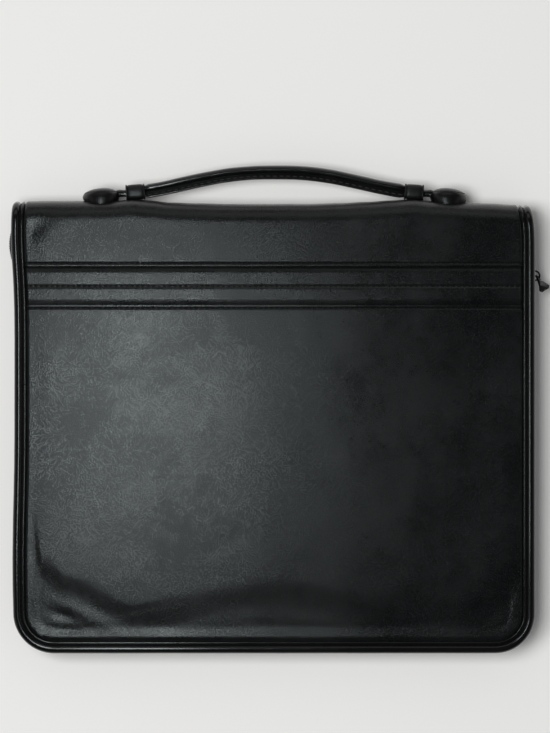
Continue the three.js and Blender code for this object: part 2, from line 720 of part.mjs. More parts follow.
// The band's depth below the front: flat where it is tucked in, two soft pads between
function bandDepth(y) {
  const share = clamp((y - bandLow) / bandWidth, 0, 1);
  const tucked = leather + clearance;
  if (share === 0 || share === 1) return tucked;
  const pad = Math.abs(Math.sin(2 * Math.PI * share)) ** padFullness;
  const fromEdge = Math.min(share, 1 - share);
  return tucked - bandSwell * Math.max(pad, padMiddle * smoothstep(fromEdge, 0, padEdge));
}

function bandGeometry() {
  const [low, high] = [bandLow - bandTuck, bandHigh + bandTuck];
  const place = (share, v, depth) => {
    const y = lerp(low, high, v);
    const x = acrossCase(share, y);
    const below = depth ? leather + clearance + bandLeather : bandDepth(y);
    return new THREE.Vector3(x, y, frontHeight(x, y) - below);
  };
  const visible = [0, 0.07, 0.25, 0.42, 0.5, 0.58, 0.75, 0.93, 1];
  const rows = [0, ...visible.map((s) => (bandTuck + s * bandWidth) / (high - low)), 1];
  return wallGeometry(place, frontShares, rows);
}

function coverGeometry() {
  const rows = [
    0, 0.012, 0.03, 0.06, 0.5, 1, 1.25, 1.5, 1.75, 2, 2.5, 3, 3.25, 3.5, 3.75, 4, 4.3, 4.65, 5,
  ];
  return wallGeometry(coverPoint, frontShares, rows);
}

const blackLeather = { color: 0x16181a, roughness: 0.42, metalness: 0 };
const blackCloth = { color: 0x101011, roughness: 0.9, metalness: 0 };
const blackNylon = { color: 0x18181a, roughness: 0.5, metalness: 0 };
const darkMetal = { color: 0x3a3a3c, roughness: 0.35, metalness: 1 };

const documentCase = new THREE.Group();

function addPiece(name, geometry, finish) {
  const mesh = new THREE.Mesh(geometry, new THREE.MeshStandardMaterial(finish));
  mesh.name = name;
  documentCase.add(mesh);
  return mesh;
}

addPiece('cover', coverGeometry(), blackLeather);
addPiece('front_panel', frontPanelGeometry(), blackLeather);
addPiece('inset_band', bandGeometry(), blackLeather);
addPiece('edge_binding', ringGeometry(bindingRings(), true), blackLeather);
addPiece('zip_tape_front', tapeGeometry(1), blackCloth);
addPiece('zip_tape_back', tapeGeometry(-1), blackCloth);
addPiece('zip_teeth', closedTeeth(), blackNylon);
addPiece('zip_row_front', openTeeth(1), blackNylon);
addPiece('zip_row_back', openTeeth(-1), blackNylon);
addPiece('zip_slider', sliderGeometry(), darkMetal);
addPiece('handle', gripGeometry(), blackLeather);
for (const [name, side] of [['left', -1], ['right', 1]]) {
  addPiece(`keeper_${name}`, keeperGeometry(side), blackLeather);
  addPiece(`handle_tab_${name}`, tabGeometry(side), blackLeather);
}

const pull = addPiece('zip_pull', pullGeometry(), darkMetal);
pull.position.set(pivotX, sliderY, sliderZ);
pull.rotation.set(Math.PI / 2 + degrees(pullTilt), 0, degrees(pullTurn), 'ZXY');

export default documentCase;
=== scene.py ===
import math
import bpy
import numpy as np
from mathutils import Matrix, Vector
from mathutils.bvhtree import BVHTree


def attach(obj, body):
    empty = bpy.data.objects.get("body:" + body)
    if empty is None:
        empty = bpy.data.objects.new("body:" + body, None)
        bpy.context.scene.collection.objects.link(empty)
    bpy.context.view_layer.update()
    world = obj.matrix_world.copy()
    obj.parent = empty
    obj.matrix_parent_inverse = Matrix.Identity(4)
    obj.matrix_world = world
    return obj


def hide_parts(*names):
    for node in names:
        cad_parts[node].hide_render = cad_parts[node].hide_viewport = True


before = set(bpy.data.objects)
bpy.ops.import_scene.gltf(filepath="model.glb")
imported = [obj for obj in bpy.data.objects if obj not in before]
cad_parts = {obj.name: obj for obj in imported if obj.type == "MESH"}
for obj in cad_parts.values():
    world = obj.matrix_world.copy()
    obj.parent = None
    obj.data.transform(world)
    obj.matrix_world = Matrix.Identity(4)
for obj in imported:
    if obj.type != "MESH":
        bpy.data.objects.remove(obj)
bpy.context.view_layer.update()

mm = 0.001

# the case lies on its back: x along the spine, y up to the handle, z from back to front, in mm
caseForm = {
    "halfWidth": 170.0,
    "halfHeight": 148.0,
    "depth": 38.0,
    "taper": 2.0,  # thinner at the foot
    "corner": 26.0,
    "turn": 12.0,  # round of the spine
    "bow": 2.6,  # dip of the spine's middle
    "swell": 0.8,  # how far the spine stands out between its two turns
    "wander": 1.5,  # how far the sides swing out
    "crown": 1.2,  # rise of the front's middle
    "foldDepth": 1.5,
    "foldFade": 6.0,
    "bindingWidth": 9.1,
    "rollRadius": 2.75,
    "beadRadius": 0.9,
    "edgeDrop": 2.4,  # depth of the seat that the binding lies in
    "edgeSoft": 0.25,  # the part of it that falls gently, over the fall
    "edgeGap": 1.3,
    "edgeLip": 0.3,
    "edgeFall": 15.0,
    "clearance": 0.3,
    "leather": 2.2,
    "seamHigh": 105.0,
    "bandWidth": 25.5,
}
halfWidth, halfHeight = caseForm["halfWidth"], caseForm["halfHeight"]
depth, turn, corner = caseForm["depth"], caseForm["turn"], caseForm["corner"]
edgeMargin = 2 * caseForm["rollRadius"] + caseForm["clearance"]  # a wall's edge lies this far inside the rim
seamHigh = caseForm["seamHigh"]
seamLow = seamHigh - caseForm["bandWidth"]
idealTurn = halfHeight - caseForm["swell"] - turn  # where the round of the spine starts on a straight case
cornerY = corner - halfHeight
samePlace = 0.01  # mm: two places closer than this are one
latticeSize, latticeShift = 64, (20.3, 20.7)  # of the soft noise: its cells each way, and its middle

spineLine = [  # share of the half width, share of the bow
    (-1, 0), (-0.64, 0), (-0.54, -0.45), (-0.47, -0.1), (-0.4, 0.38), (-0.3, 0.6), (-0.18, 0.75), 
    (0.13, 0.75),
    (0.25, 0.55), (0.36, 0.25), (0.46, -0.15), (0.54, -0.5), (0.62, 0), (0.8, 0.6), (0.93, 0.9), (1, 1),
]
sideWander = [  # side, place, spread, out
    (-1, -0.6, 0.34, 0.9), (-1, 0.86, 0.22, 1.5), (1, 1, 0.09, -1.7),
]
zipBulges = [  # side, place, spread, share of the bulge
    (-1, 0.8, 0.1, 1), (-1, -0.35, 0.2, 0.3), (1, -0.1, 0.25, 0.2),
]
folds = [  # x, y, turn, long, wide, rise: shares of the case, degrees, share of the fold depth
    (-0.94, 0.862, 38, 0.075, 0.018, -0.42), (-0.81, -0.83, -14, 0.024, 0.01, -0.5),
    (-0.79, -0.9, -6, 0.03, 0.008, -0.4), (-0.7, -0.85, -24, 0.07, 0.014, 0.3),
    (0.9, -0.84, 60, 0.04, 0.03, 0.5),
]


def smooth(value, low, high):  # 0 at low, 1 at high
    t = np.clip((value - low) / (high - low), 0, 1)
    return t * t * (3 - 2 * t)


def readLine(rows, at):  # a table of places and values, read with soft steps
    places, values = (np.array(column, float) for column in zip(*rows))
    at = np.clip(at, places[0], places[-1])
    i = np.clip(np.searchsorted(places, at, side="right") - 1, 0, len(rows) - 2)
    t = (at - places[i]) / (places[i + 1] - places[i])
    return values[i] + (values[i + 1] - values[i]) * t * t * (3 - 2 * t)


def sumBumps(rows, side, y):
    total = 0.0 * y
    for rowSide, at, spread, out in rows:
        total = total + np.where(side == rowSide, out * np.exp(-(((y / halfHeight - at) / spread) ** 2)), 0)
    return total


def softNoise(x, y, size, seed):  # smooth unevenness from -1 to 1, features of about that size
    n = latticeSize
    lattice = np.random.default_rng(seed).uniform(-1, 1, (n, n))
    u, v = x / size + latticeShift[0], y / size + latticeShift[1]
    i, j = np.floor(u).astype(int), np.floor(v).astype(int)
    s, t = smooth(u - i, 0, 1), smooth(v - j, 0, 1)
    i0, i1, j0, j1 = i % n, (i + 1) % n, j % n, (j + 1) % n
    low = lattice[i0, j0] * (1 - s) + lattice[i1, j0] * s
    high = lattice[i0, j1] * (1 - s) + lattice[i1, j1] * s
    return low * (1 - t) + high * t


def alongLine(points):  # the length from the first point to each
    return np.concatenate([[0], np.cumsum(np.linalg.norm(np.diff(points, axis=0), axis=1))])


def sideOf(x):
    return np.where(x < 0, -1, 1)


def sideReach(side, y):
    return halfWidth + caseForm["wander"] * sumBumps(sideWander, side, y)


def spineTop(x):
    return halfHeight - caseForm["bow"] * readLine(spineLine, x / halfWidth)


def turnStart(x):
    return spineTop(x) - caseForm["swell"] - turn


def frontBase(y):
    return depth - caseForm["taper"] * np.clip((halfHeight - y) / (2 * halfHeight), 0, 1)


def edgeDistance(x, y):
    fromSide = sideReach(sideOf(x), y) - np.abs(x)
    fromFoot = y + halfHeight
    fromRound = corner - np.hypot(np.maximum(corner - fromSide, 0), np.maximum(corner - fromFoot, 0))
    return np.where((fromSide < corner) & (fromFoot < corner), fromRound, np.minimum(fromSide, fromFoot))


def edgeSink(distance):  # a gentle round over the last centimetres and a narrow gap beside the bead
    width, soft = caseForm["bindingWidth"], caseForm["edgeSoft"]
    gap = smooth(distance, width - caseForm["edgeGap"], width + caseForm["edgeLip"])
    steep = (caseForm["edgeDrop"] - soft) * (1 - gap)
    return steep + soft * (1 - smooth(distance, width, width + caseForm["edgeFall"]))


def ridges(rows, x, y, height):
    total = 0.0 * x
    for atX, atY, turned, long, wide, rise in rows:
        dx, dy = x - atX * halfWidth, y - atY * halfHeight
        c, s = math.cos(math.radians(turned)), math.sin(math.radians(turned))
        along = (dx * c + dy * s) / (long * 2 * halfWidth)
        across = (dy * c - dx * s) / (wide * 2 * halfWidth)
        total = total + rise * height * np.exp(-along**2 - across**2)
    return total


def frontRelief(x, y):
    across, along = x / halfWidth, np.clip(y / halfHeight, -1, 1)
    crown = caseForm["crown"] * (1 - across**2) * (1 - along**2)
    width = caseForm["bindingWidth"]
    inside = smooth(edgeDistance(x, y), width, width + caseForm["foldFade"])
    return crown + inside * ridges(folds, x, y, caseForm["foldDepth"])


def frontHeight(x, y):
    return frontBase(y) + frontRelief(x, y) - edgeSink(edgeDistance(x, y))


def footLine(share):  # lower edge of a wall, at that share of the way across
    reach = sideReach(sideOf(share), np.full_like(share, cornerY))
    past = np.maximum(np.abs(share) * (reach - edgeMargin) - (reach - corner), 0)
    return cornerY - np.sqrt(np.maximum((corner - edgeMargin) ** 2 - past**2, 0))


def acrossCase(share, y):
    return share * (sideReach(sideOf(share), y) - edgeMargin)


def settle(points):  # moves points of the straight case to where the worn one has them
    x, y, z = np.asarray(points, float).T
    turnY = turnStart(x)
    below = np.clip((idealTurn - y) / (idealTurn - seamHigh), 0, 1)
    onFace = np.where(y > seamHigh, turnY + (seamHigh - turnY) * below, y)
    newY = np.where(y > idealTurn, y - idealTurn + turnY, onFace)
    through = np.clip((z - turn) / (depth - 2 * turn), 0, 1)
    newY = newY + caseForm["swell"] * np.sin(np.pi * through) * np.clip((y - idealTurn) / turn, 0, 1)
    newZ = z - (depth - frontBase(newY)) * through
    newX = x * sideReach(sideOf(x), newY) / halfWidth
    return np.stack([newX, newY, newZ], 1)


# small helpers for modelling

def startPiece():
    if bpy.context.object and bpy.context.object.mode != "OBJECT":
        bpy.ops.object.mode_set(mode="OBJECT")
    bpy.ops.object.select_all(action="DESELECT")


def pickPiece(piece):
    startPiece()
    piece.select_set(True)
    bpy.context.view_layer.objects.active = piece


def readPoints(piece):  # the vertices in mm
    points = np.empty(len(piece.data.vertices) * 3)
    piece.data.vertices.foreach_get("co", points)
    return points.reshape(-1, 3) / mm


def writePoints(piece, points):
    piece.data.vertices.foreach_set("co", (np.asarray(points) * mm).ravel())
    piece.data.update()


def addGrid(name, columns, rows):  # a grid from -1 to 1 each way
    startPiece()
    bpy.ops.mesh.primitive_grid_add(x_subdivisions=columns, y_subdivisions=rows, size=2)
    piece = bpy.context.object
    piece.name = name
    points = readPoints(piece) * mm
    return piece, points[:, 0], points[:, 1]


def selectVertices(piece, chosen):  # leaves the piece in edit mode with these vertices selected
    pickPiece(piece)
    bpy.ops.object.mode_set(mode="EDIT")
    bpy.ops.mesh.select_mode(type="VERT")
    bpy.ops.mesh.select_all(action="DESELECT")
    bpy.ops.object.mode_set(mode="OBJECT")
    piece.data.vertices.foreach_set("select", np.asarray(chosen, bool))
    bpy.ops.object.mode_set(mode="EDIT")


def applyModifier(piece, kind, **settings):
    pickPiece(piece)
    modifier = piece.modifiers.new(kind.title(), kind)
    for key, value in settings.items():
        setattr(modifier, key, value)
    bpy.ops.object.modifier_apply(modifier=modifier.name)


def smoothShade(piece, angle=50):
    pickPiece(piece)
    bpy.ops.object.shade_smooth_by_angle(angle=math.radians(angle))


def turnOutwards(piece):
    pickPiece(piece)
    bpy.ops.object.mode_set(mode="EDIT")
    bpy.ops.mesh.select_all(action="SELECT")
    bpy.ops.mesh.remove_doubles(threshold=0.00001)
    bpy.ops.mesh.normals_make_consistent(inside=False)
    bpy.ops.object.mode_set(mode="OBJECT")


def faceUp(piece, outwards):  # an open sheet is turned so that its middle face looks that way
    normals = sum((face.normal * face.area for face in piece.data.polygons), Vector())
    if normals.dot(Vector(outwards)) < 0:
        piece.data.flip_normals()


def roundEdges(piece, size, segments=3, angle=50, **more):
    settings = {"width": size * mm, "segments": segments, "limit_method": "ANGLE"}
    settings["angle_limit"] = math.radians(angle)
    applyModifier(piece, "BEVEL", **settings, **more)


def makeWall(piece, thickness, edgeRound):
    applyModifier(piece, "SOLIDIFY", thickness=thickness * mm, offset=-1, use_even_offset=True)
    if edgeRound:
        roundEdges(piece, edgeRound)
    smoothShade(piece)


def extrudeRow(steps, way):  # the selected edge is drawn out by that way in so many steps
    for _ in range(steps):
        move = tuple(part * mm / steps for part in way)
        bpy.ops.mesh.extrude_region_move(TRANSFORM_OT_translate={"value": move})


def spinRow(steps, angle, axis, centre):
    # the operator turns against the angle that it is given
    middle = tuple(c * mm for c in centre)
    bpy.ops.mesh.spin(steps=steps, angle=-math.radians(angle), axis=axis, center=middle)


def sweepRound(name, section, placeFirst):  # starts a ring of the section, ready to be drawn out
    startPiece()
    bpy.ops.mesh.primitive_circle_add(vertices=len(section), radius=0.001)
    piece = bpy.context.object
    piece.name = name
    writePoints(piece, np.array([placeFirst(u, w) for u, w in section]))
    selectVertices(piece, np.ones(len(section)))
    return piece


def addSleeve(name, count, high, wide, squareness):  # starts a rounded square across the x axis
    startPiece()
    bpy.ops.mesh.primitive_circle_add(vertices=count, radius=0.001)
    piece = bpy.context.object
    piece.name = name
    points = readPoints(piece)
    a, power = np.arctan2(points[:, 1], points[:, 0]), 2 / squareness
    c, s = np.cos(a), np.sin(a)
    y, z = high * np.sign(s) * np.abs(s) ** power, wide * np.sign(c) * np.abs(c) ** power
    writePoints(piece, np.stack([0 * a, y, z], 1))
    selectVertices(piece, np.ones(count))
    return piece


def capEnds(piece, ends):  # closes the openings at these places along x
    bpy.ops.object.mode_set(mode="OBJECT")
    points = readPoints(piece)
    for end in ends:
        selectVertices(piece, np.abs(points[:, 0] - end) < samePlace)
        bpy.ops.mesh.edge_face_add()
        bpy.ops.object.mode_set(mode="OBJECT")
    return points


def sideName(side):
    return "Left" if side < 0 else "Right"


def finishPiece(piece, material, body="case", nodes=()):
    piece.data.materials.clear()
    piece.data.materials.append(material)
    if nodes:
        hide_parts(*nodes)
    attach(piece, body)
    return piece


# shader maths as plain expressions

class signal:
    def __init__(self, shader, socket):
        self.shader, self.socket = shader, socket

    def __add__(self, other):
        return self.shader.maths("ADD", self, other)

    def __radd__(self, other):
        return self.shader.maths("ADD", other, self)

    def __sub__(self, other):
        return self.shader.maths("SUBTRACT", self, other)

    def __rsub__(self, other):
        return self.shader.maths("SUBTRACT", other, self)

    def __mul__(self, other):
        return self.shader.maths("MULTIPLY", self, other)

    def __rmul__(self, other):
        return self.shader.maths("MULTIPLY", other, self)

    def clamped(self, low, high):  # 0 at low, 1 at high
        return self.shader.node(
            "ShaderNodeMapRange", {"interpolation_type": "SMOOTHSTEP"},
            {"Value": self, "From Min": low, "From Max": high},
        )["Result"]


class shaderSheet:
    def __init__(self, name, settings):
        self.material = bpy.data.materials.new(name)
        self.material.use_nodes = True
        self.tree = self.material.node_tree
        self.surface = self.tree.nodes["Principled BSDF"]
        for key, value in settings.items():
            self.surface.inputs[key].default_value = value

    def wire(self, socket, value):
        if isinstance(value, signal):
            self.tree.links.new(value.socket, socket)
        else:
            socket.default_value = value

    def feed(self, name, value):
        self.wire(self.surface.inputs[name], value)

    def node(self, kind, settings, inputs):
        made = self.tree.nodes.new(kind)
        for key, value in settings.items():
            setattr(made, key, value)
        for key, value in inputs.items():
            self.wire(made.inputs[key], value)
        return {socket.name: signal(self, socket) for socket in made.outputs if socket.enabled}

    def maths(self, kind, first, second):
        return self.node("ShaderNodeMath", {"operation": kind}, {0: first, 1: second})["Value"]

    def place(self):
        return self.node("ShaderNodeTexCoord", {}, {})["Object"]

    def noise(self, size, detail=3, roughness=0.5):
        return self.node(
            "ShaderNodeTexNoise", {},
            {"Vector": self.place(), "Scale": 1 / (size * mm), "Detail": detail, "Roughness": roughness},
        )["Fac"]

    def mix(self, share, low, high):
        made = self.tree.nodes.new("ShaderNodeMix")
        made.data_type = "RGBA"
        self.wire(made.inputs["Factor"], share)
        colours = [socket for socket in made.inputs if socket.type == "RGBA"]
        self.wire(colours[0], low)
        self.wire(colours[1], high)
        return signal(self, [socket for socket in made.outputs if socket.type == "RGBA"][0])

    def bump(self, height, distance):
        return self.node("ShaderNodeBump", {}, {"Height": height, "Distance": distance * mm})["Normal"]

    def patch(self, x, y, sizeX, sizeY, turned=0):  # a soft oval mark on the front, 1 in its middle
        at = self.node(
            "ShaderNodeMapping", {"vector_type": "TEXTURE"},
            {
                "Vector": self.place(), "Location": (x * mm, y * mm, 0),
                "Rotation": (0, 0, math.radians(turned)),
                "Scale": (sizeX * mm, sizeY * mm, 1),
            },
        )["Vector"]
        parts = self.node("ShaderNodeSeparateXYZ", {}, {"Vector": at})
        return 1 - (parts["X"] * parts["X"] + parts["Y"] * parts["Y"]).clamped(0, 1)


# leather: pebbled, rubbed in places, black

leatherLook = {  # sizes in mm
    "colour": (0.0026, 0.0029, 0.0031, 1),
    "worn": (0.013, 0.0145, 0.015, 1),
    "roughness": 0.3,
    "roughSpread": 0.22,
    "speckle": 0.15,
    "pebble": 0.84, "pebbleDepth": 0.054, "pebbleEdge": (0.1, 0.75),
    "pore": 0.35, "poreDepth": 0.015,
    "cloud": 46, "cloudRange": (0.42, 0.68), "cloudShare": 0.55, "cloudSpread": 0.34,
    "mottle": 7, "mottleRange": (0.45, 0.75), "mottleShare": 0.3,
    "patchGain": 1.6,
    "fleck": 0.55,
    "shine": 0.5,
}


def makeLeather(name, changes=None, patches=()):
    look = {**leatherLook, **(changes or {})}
    sheet = shaderSheet(name, {"Specular IOR Level": look["shine"], "Roughness": look["roughness"]})
    scale = 1 / (look["pebble"] * mm)
    cells = sheet.node("ShaderNodeTexVoronoi", {}, {"Vector": sheet.place(), "Scale": scale})
    pebbles = 1 - cells["Distance"].clamped(*look["pebbleEdge"])
    chance = sheet.node("ShaderNodeSeparateColor", {}, {"Color": cells["Color"]})["Red"]
    pores = sheet.noise(look["pore"], detail=2)
    cloud = sheet.noise(look["cloud"], detail=4, roughness=0.55)
    mottle = sheet.noise(look["mottle"], detail=4, roughness=0.6)
    rubbed = cloud.clamped(*look["cloudRange"]) * look["cloudShare"]
    rubbed = rubbed + mottle.clamped(*look["mottleRange"]) * look["mottleShare"]
    for x, y, sizeX, sizeY, turned, strength in patches:
        rubbed = rubbed + sheet.patch(x, y, sizeX, sizeY, turned) * (mottle * strength * look["patchGain"])
    rubbed = sheet.maths("MINIMUM", sheet.maths("MAXIMUM", rubbed, 0.0), 1.0)
    tips = rubbed * (pebbles * 0.5 + 0.15) + pebbles * (chance * 0.5 + 0.5) * look["fleck"]
    sheet.feed("Base Color", sheet.mix(tips, look["colour"], look["worn"]))
    rough = look["roughness"] + look["roughSpread"] * (mottle - 0.5) + (cloud - 0.5) * look["cloudSpread"]
    sheet.feed("Roughness", rough + (chance * 0.3 + 0.35 - pebbles) * look["speckle"])
    grain = pebbles * (chance * 0.4 + 0.8) * look["pebbleDepth"]
    sheet.feed("Normal", sheet.bump(grain + pores * look["poreDepth"], 1.0))
    return sheet.material


frontPatches = [  # x, y, size x, size y, turned, strength: rubbed grey places, and two that stay black
    (-106, 19, 24, 14, 10, 0.9), (-104, 20, 9, 9, 0, 0.8), (-36, 86, 13, 8, 0, 0.6),
    (-120, -10, 30, 60, 0, 0.4),
    (-110, 120, 45, 22, 0, 0.5), (85, 40, 50, 34, -12, -0.8), (30, -110, 70, 14, 0, -0.5),
]
smoothLook = {  # smooth leather of the binding and the handle
    "pebbleDepth": 0.006, "poreDepth": 0.004, "roughSpread": 0.08, "speckle": 0.04, "fleck": 0.1,
}
bindingLook = {
    **smoothLook, "colour": (0.004, 0.004, 0.0043, 1), "worn": (0.01, 0.01, 0.0105, 1), "roughness": 0.19,
    "pebble": 1.1, "cloudSpread": 0.06,
}
handleLook = {
    **smoothLook, "colour": (0.003, 0.003, 0.0031, 1), "worn": (0.01, 0.01, 0.01, 1), "roughness": 0.2,
    "pebble": 0.9, "cloudSpread": 0.05, "shine": 1.0,
}
keeperLook = {**handleLook, "worn": (0.02, 0.02, 0.02, 1), "roughness": 0.42, "shine": 0.5}
padLook = {**handleLook, "roughness": 0.36, "shine": 0.4}

print("leather materials")
panelLeather = makeLeather("panelLeather", patches=frontPatches)
coverLeather = makeLeather("coverLeather", patches=frontPatches)
bindingLeather = makeLeather("bindingLeather", bindingLook)
handleLeather = makeLeather("handleLeather", handleLook)
keeperLeather = makeLeather("keeperLeather", keeperLook)
padLeather = makeLeather("padLeather", padLook)

# thread, tape, nylon and enamel

threadLook = {"strand": 0.25, "depth": 0.06, "roughness": 0.75}
weaveLook = {
    "ribs": 2.2, "weft": 2.6, "ribShare": 0.6, "ribWaver": 0.6, "weftWaver": 0.8, "depth": 0.12,
    "roughness": 0.85,
    "dark": (0.006, 0.006, 0.007, 1), "light": (0.022, 0.022, 0.024, 1),
}
nylonLook = {
    "dust": 1.5, "roughness": 0.42, "dark": (0.01, 0.01, 0.011, 1), "light": (0.035, 0.035, 0.036, 1),
}
enamelLook = {
    "scuff": 2.2, "scuffRange": (0.52, 0.7), "roughness": 0.3, "scuffRough": 0.25, "metallic": 0.6,
    "dent": 0.8, "dentDepth": 0.03, "dark": (0.02, 0.02, 0.021, 1), "light": (0.16, 0.155, 0.15, 1),
}


def makeThread(name, dark, light, shine):
    sheet = shaderSheet(name, {"Roughness": threadLook["roughness"], "Specular IOR Level": shine})
    strands = sheet.noise(threadLook["strand"], detail=2)
    sheet.feed("Base Color", sheet.mix(strands, (dark, dark, dark, 1), (light, light, light, 1)))
    sheet.feed("Normal", sheet.bump(strands, threadLook["depth"]))
    return sheet.material


def makeWeave():
    look = weaveLook
    sheet = shaderSheet("wovenTape", {"Roughness": look["roughness"]})
    weave = []
    yarns = [("Z", look["ribs"], look["ribWaver"]), ("DIAGONAL", look["weft"], look["weftWaver"])]
    for way, size, waver in yarns:
        inputs = {"Vector": sheet.place(), "Scale": 1 / (size * mm), "Distortion": waver, "Detail": 1.0}
        weave.append(sheet.node("ShaderNodeTexWave", {"bands_direction": way}, inputs)["Fac"])
    cloth = weave[0] * look["ribShare"] + weave[1] * (1 - look["ribShare"])
    sheet.feed("Base Color", sheet.mix(cloth, look["dark"], look["light"]))
    sheet.feed("Normal", sheet.bump(cloth, look["depth"]))
    return sheet.material


def makeNylon():
    look = nylonLook
    sheet = shaderSheet("nylonTeeth", {"Roughness": look["roughness"]})
    sheet.feed("Base Color", sheet.mix(sheet.noise(look["dust"]), look["dark"], look["light"]))
    return sheet.material


def makeEnamel():
    look = enamelLook
    sheet = shaderSheet("blackEnamel", {"Metallic": look["metallic"]})
    scuffs = sheet.noise(look["scuff"], detail=5, roughness=0.7).clamped(*look["scuffRange"])
    sheet.feed("Base Color", sheet.mix(scuffs, look["dark"], look["light"]))
    sheet.feed("Roughness", look["roughness"] + scuffs * look["scuffRough"])
    sheet.feed("Normal", sheet.bump(sheet.noise(look["dent"]), look["dentDepth"]))
    return sheet.material


thread = makeThread("blackThread", 0.002, 0.008, 0.06)
handleThread = makeThread("handleThread", 0.015, 0.05, 0.3)
wovenTape, nylonTeeth, blackEnamel = makeWeave(), makeNylon(), makeEnamel()

# leather of the front

panelForm = {
    "columns": 236, "rows": 166, "edgeRound": 0.6, "edgeZone": 0.025, "edgeRows": 0.11,
    "stitchFromEdge": 2.0, "grooveDepth": 0.8, "grooveHalf": 0.6,
    "unevenness": 0.16, "creaseFade": (10, 20),
}
creases = [  # finer folds than the solids have, in the same columns as folds
    (-0.5, -0.8, 12, 0.06, 0.006, -0.1), (0.1, -0.88, -5, 0.09, 0.007, -0.12),
    (0.55, -0.87, 6, 0.08, 0.007, -0.1), (-0.795, -0.5, 90, 0.018, 0.003, -0.09),
    (-0.45, -0.44, -20, 0.06, 0.01, -0.08), (-0.2, -0.52, 30, 0.05, 0.01, -0.07),
]
sagLine = [  # middle of the slope down to the lower margin: shares of half the width and height
    (-0.96, -0.42), (-0.9, -0.62), (-0.8, -0.7), (-0.52, -0.84), (0, -0.75), (0.48, -0.835), (0.75, -0.83),
    (0.93, -0.72),
]
sagForm = {
    "drop": 1.3, "reach": 8.0, "wider": 5.0, "wideFrom": -115.0, "wideTo": -60.0, "fade": 9.0,
    "waver": 0.08, "waverLength": 19, "steps": 400,
}
sideGather = 0.3  # how much closer the columns of a grid lie at the sides
unevenLayers = [(34, 3, 0.6), (13, 5, 0.3), (5, 8, 0.1)]  # size in mm, seed, share
unevenFade = (9, 16)  # mm from the rim


def sagAt(x, y):  # how far the panel has dropped there
    form = sagForm
    level = readLine(sagLine, x / halfWidth) * halfHeight
    shares = np.linspace(-1, 1, form["steps"])
    steep = np.gradient(readLine(sagLine, shares) * halfHeight, 2 * halfWidth / (form["steps"] - 1))
    lean = np.interp(x, halfWidth * shares, steep)
    below = (level - y) / np.hypot(1, lean)
    above = form["reach"] + form["wider"] * smooth(x, form["wideFrom"], form["wideTo"])
    waver = 1 + form["waver"] * np.sin(x / form["waverLength"])
    dropped = form["drop"] * waver * smooth(below, -above, form["reach"])
    width = caseForm["bindingWidth"]
    return dropped * smooth(edgeDistance(x, y), width, width + form["fade"])


def gatherSides(share):
    return share * (1 + sideGather - sideGather * share**2)


def gatherRows(t, zone, rows):  # 0 to 1, with this share of the rows in the first zone of the way
    return np.where(t < rows, t * zone / rows, zone + (t - rows) * (1 - zone) / (1 - rows))


def grooveAt(distance, form):
    return form["grooveDepth"] * np.exp(-(((distance - form["stitchFromEdge"]) / form["grooveHalf"]) ** 2))


def leatherUneven(x, y, amount):
    near = sum(softNoise(x, y, size, seed) * share for size, seed, share in unevenLayers)
    return amount * near * smooth(edgeDistance(x, y), *unevenFade)


def makeFrontPanel():
    form = panelForm
    piece, share, v = addGrid("frontPanel", form["columns"], form["rows"])
    share = gatherSides(share)
    foot = footLine(share)
    y = seamLow - (seamLow - foot) * gatherRows((1 - v) / 2, form["edgeZone"], form["edgeRows"])
    x = acrossCase(share, y)
    fine = ridges(creases, x, y, caseForm["foldDepth"]) * smooth(edgeDistance(x, y), *form["creaseFade"])
    z = frontHeight(x, y) + fine
    z += leatherUneven(x, y, form["unevenness"]) - grooveAt(seamLow - y, form) - sagAt(x, y)
    writePoints(piece, np.stack([x, y, z], 1))
    faceUp(piece, (0, 0, 1))
    makeWall(piece, caseForm["leather"], form["edgeRound"])
    return finishPiece(piece, panelLeather, nodes=["front_panel"])


bandForm = {
    "columns": 360, "rows": 84, "tuck": 6.0, "leather": 1.3, "unevenness": 0.12,
    "swell": 1.6, "slope": 0.18, "roundness": 1.5, "middle": 0.48, "valley": 0.085, "valleyDepth": 0.6,
    "pitch": 3.5, "firstStitch": -159.5, "holeDepth": 0.45, "holeHalf": 0.8,
    "stitchRadius": 0.72, "stitchLength": 2.9,
}
bandSeam = seamLow + bandForm["middle"] * (seamHigh - seamLow)


def bandDepth(x, y):  # two soft pads, each between a round slope from its seam and the stitched middle
    form = bandForm
    share = np.clip((y - seamLow) / (seamHigh - seamLow), 0, 1)
    fromSeam = np.clip(np.minimum(share, 1 - share) / form["slope"], 0, 1)
    pad = form["swell"] * (1 - (1 - fromSeam) ** form["roundness"])
    fromMiddle = np.clip(np.abs(share - form["middle"]) / form["valley"], 0, 1)
    valley = form["valleyDepth"] * (1 - np.sin(np.pi / 2 * fromMiddle))
    row = np.exp(-(((y - bandSeam) / form["holeHalf"]) ** 2))
    turns = (x - form["firstStitch"]) / form["pitch"]
    holes = form["holeDepth"] * row * (0.5 + 0.5 * np.cos(2 * np.pi * turns))
    return caseForm["leather"] + caseForm["clearance"] - pad + valley + holes


def makeBand():
    piece, share, v = addGrid("insetBand", bandForm["columns"], bandForm["rows"])
    share = gatherSides(share)
    low, high = seamLow - bandForm["tuck"], seamHigh + bandForm["tuck"]
    y = low + (high - low) * (v + 1) / 2
    x = acrossCase(share, y)
    z = frontHeight(x, y) - bandDepth(x, y) + leatherUneven(x, y, bandForm["unevenness"])
    writePoints(piece, np.stack([x, y, z], 1))
    faceUp(piece, (0, 0, 1))
    makeWall(piece, bandForm["leather"], 0)
    return finishPiece(piece, panelLeather, nodes=["inset_band"])


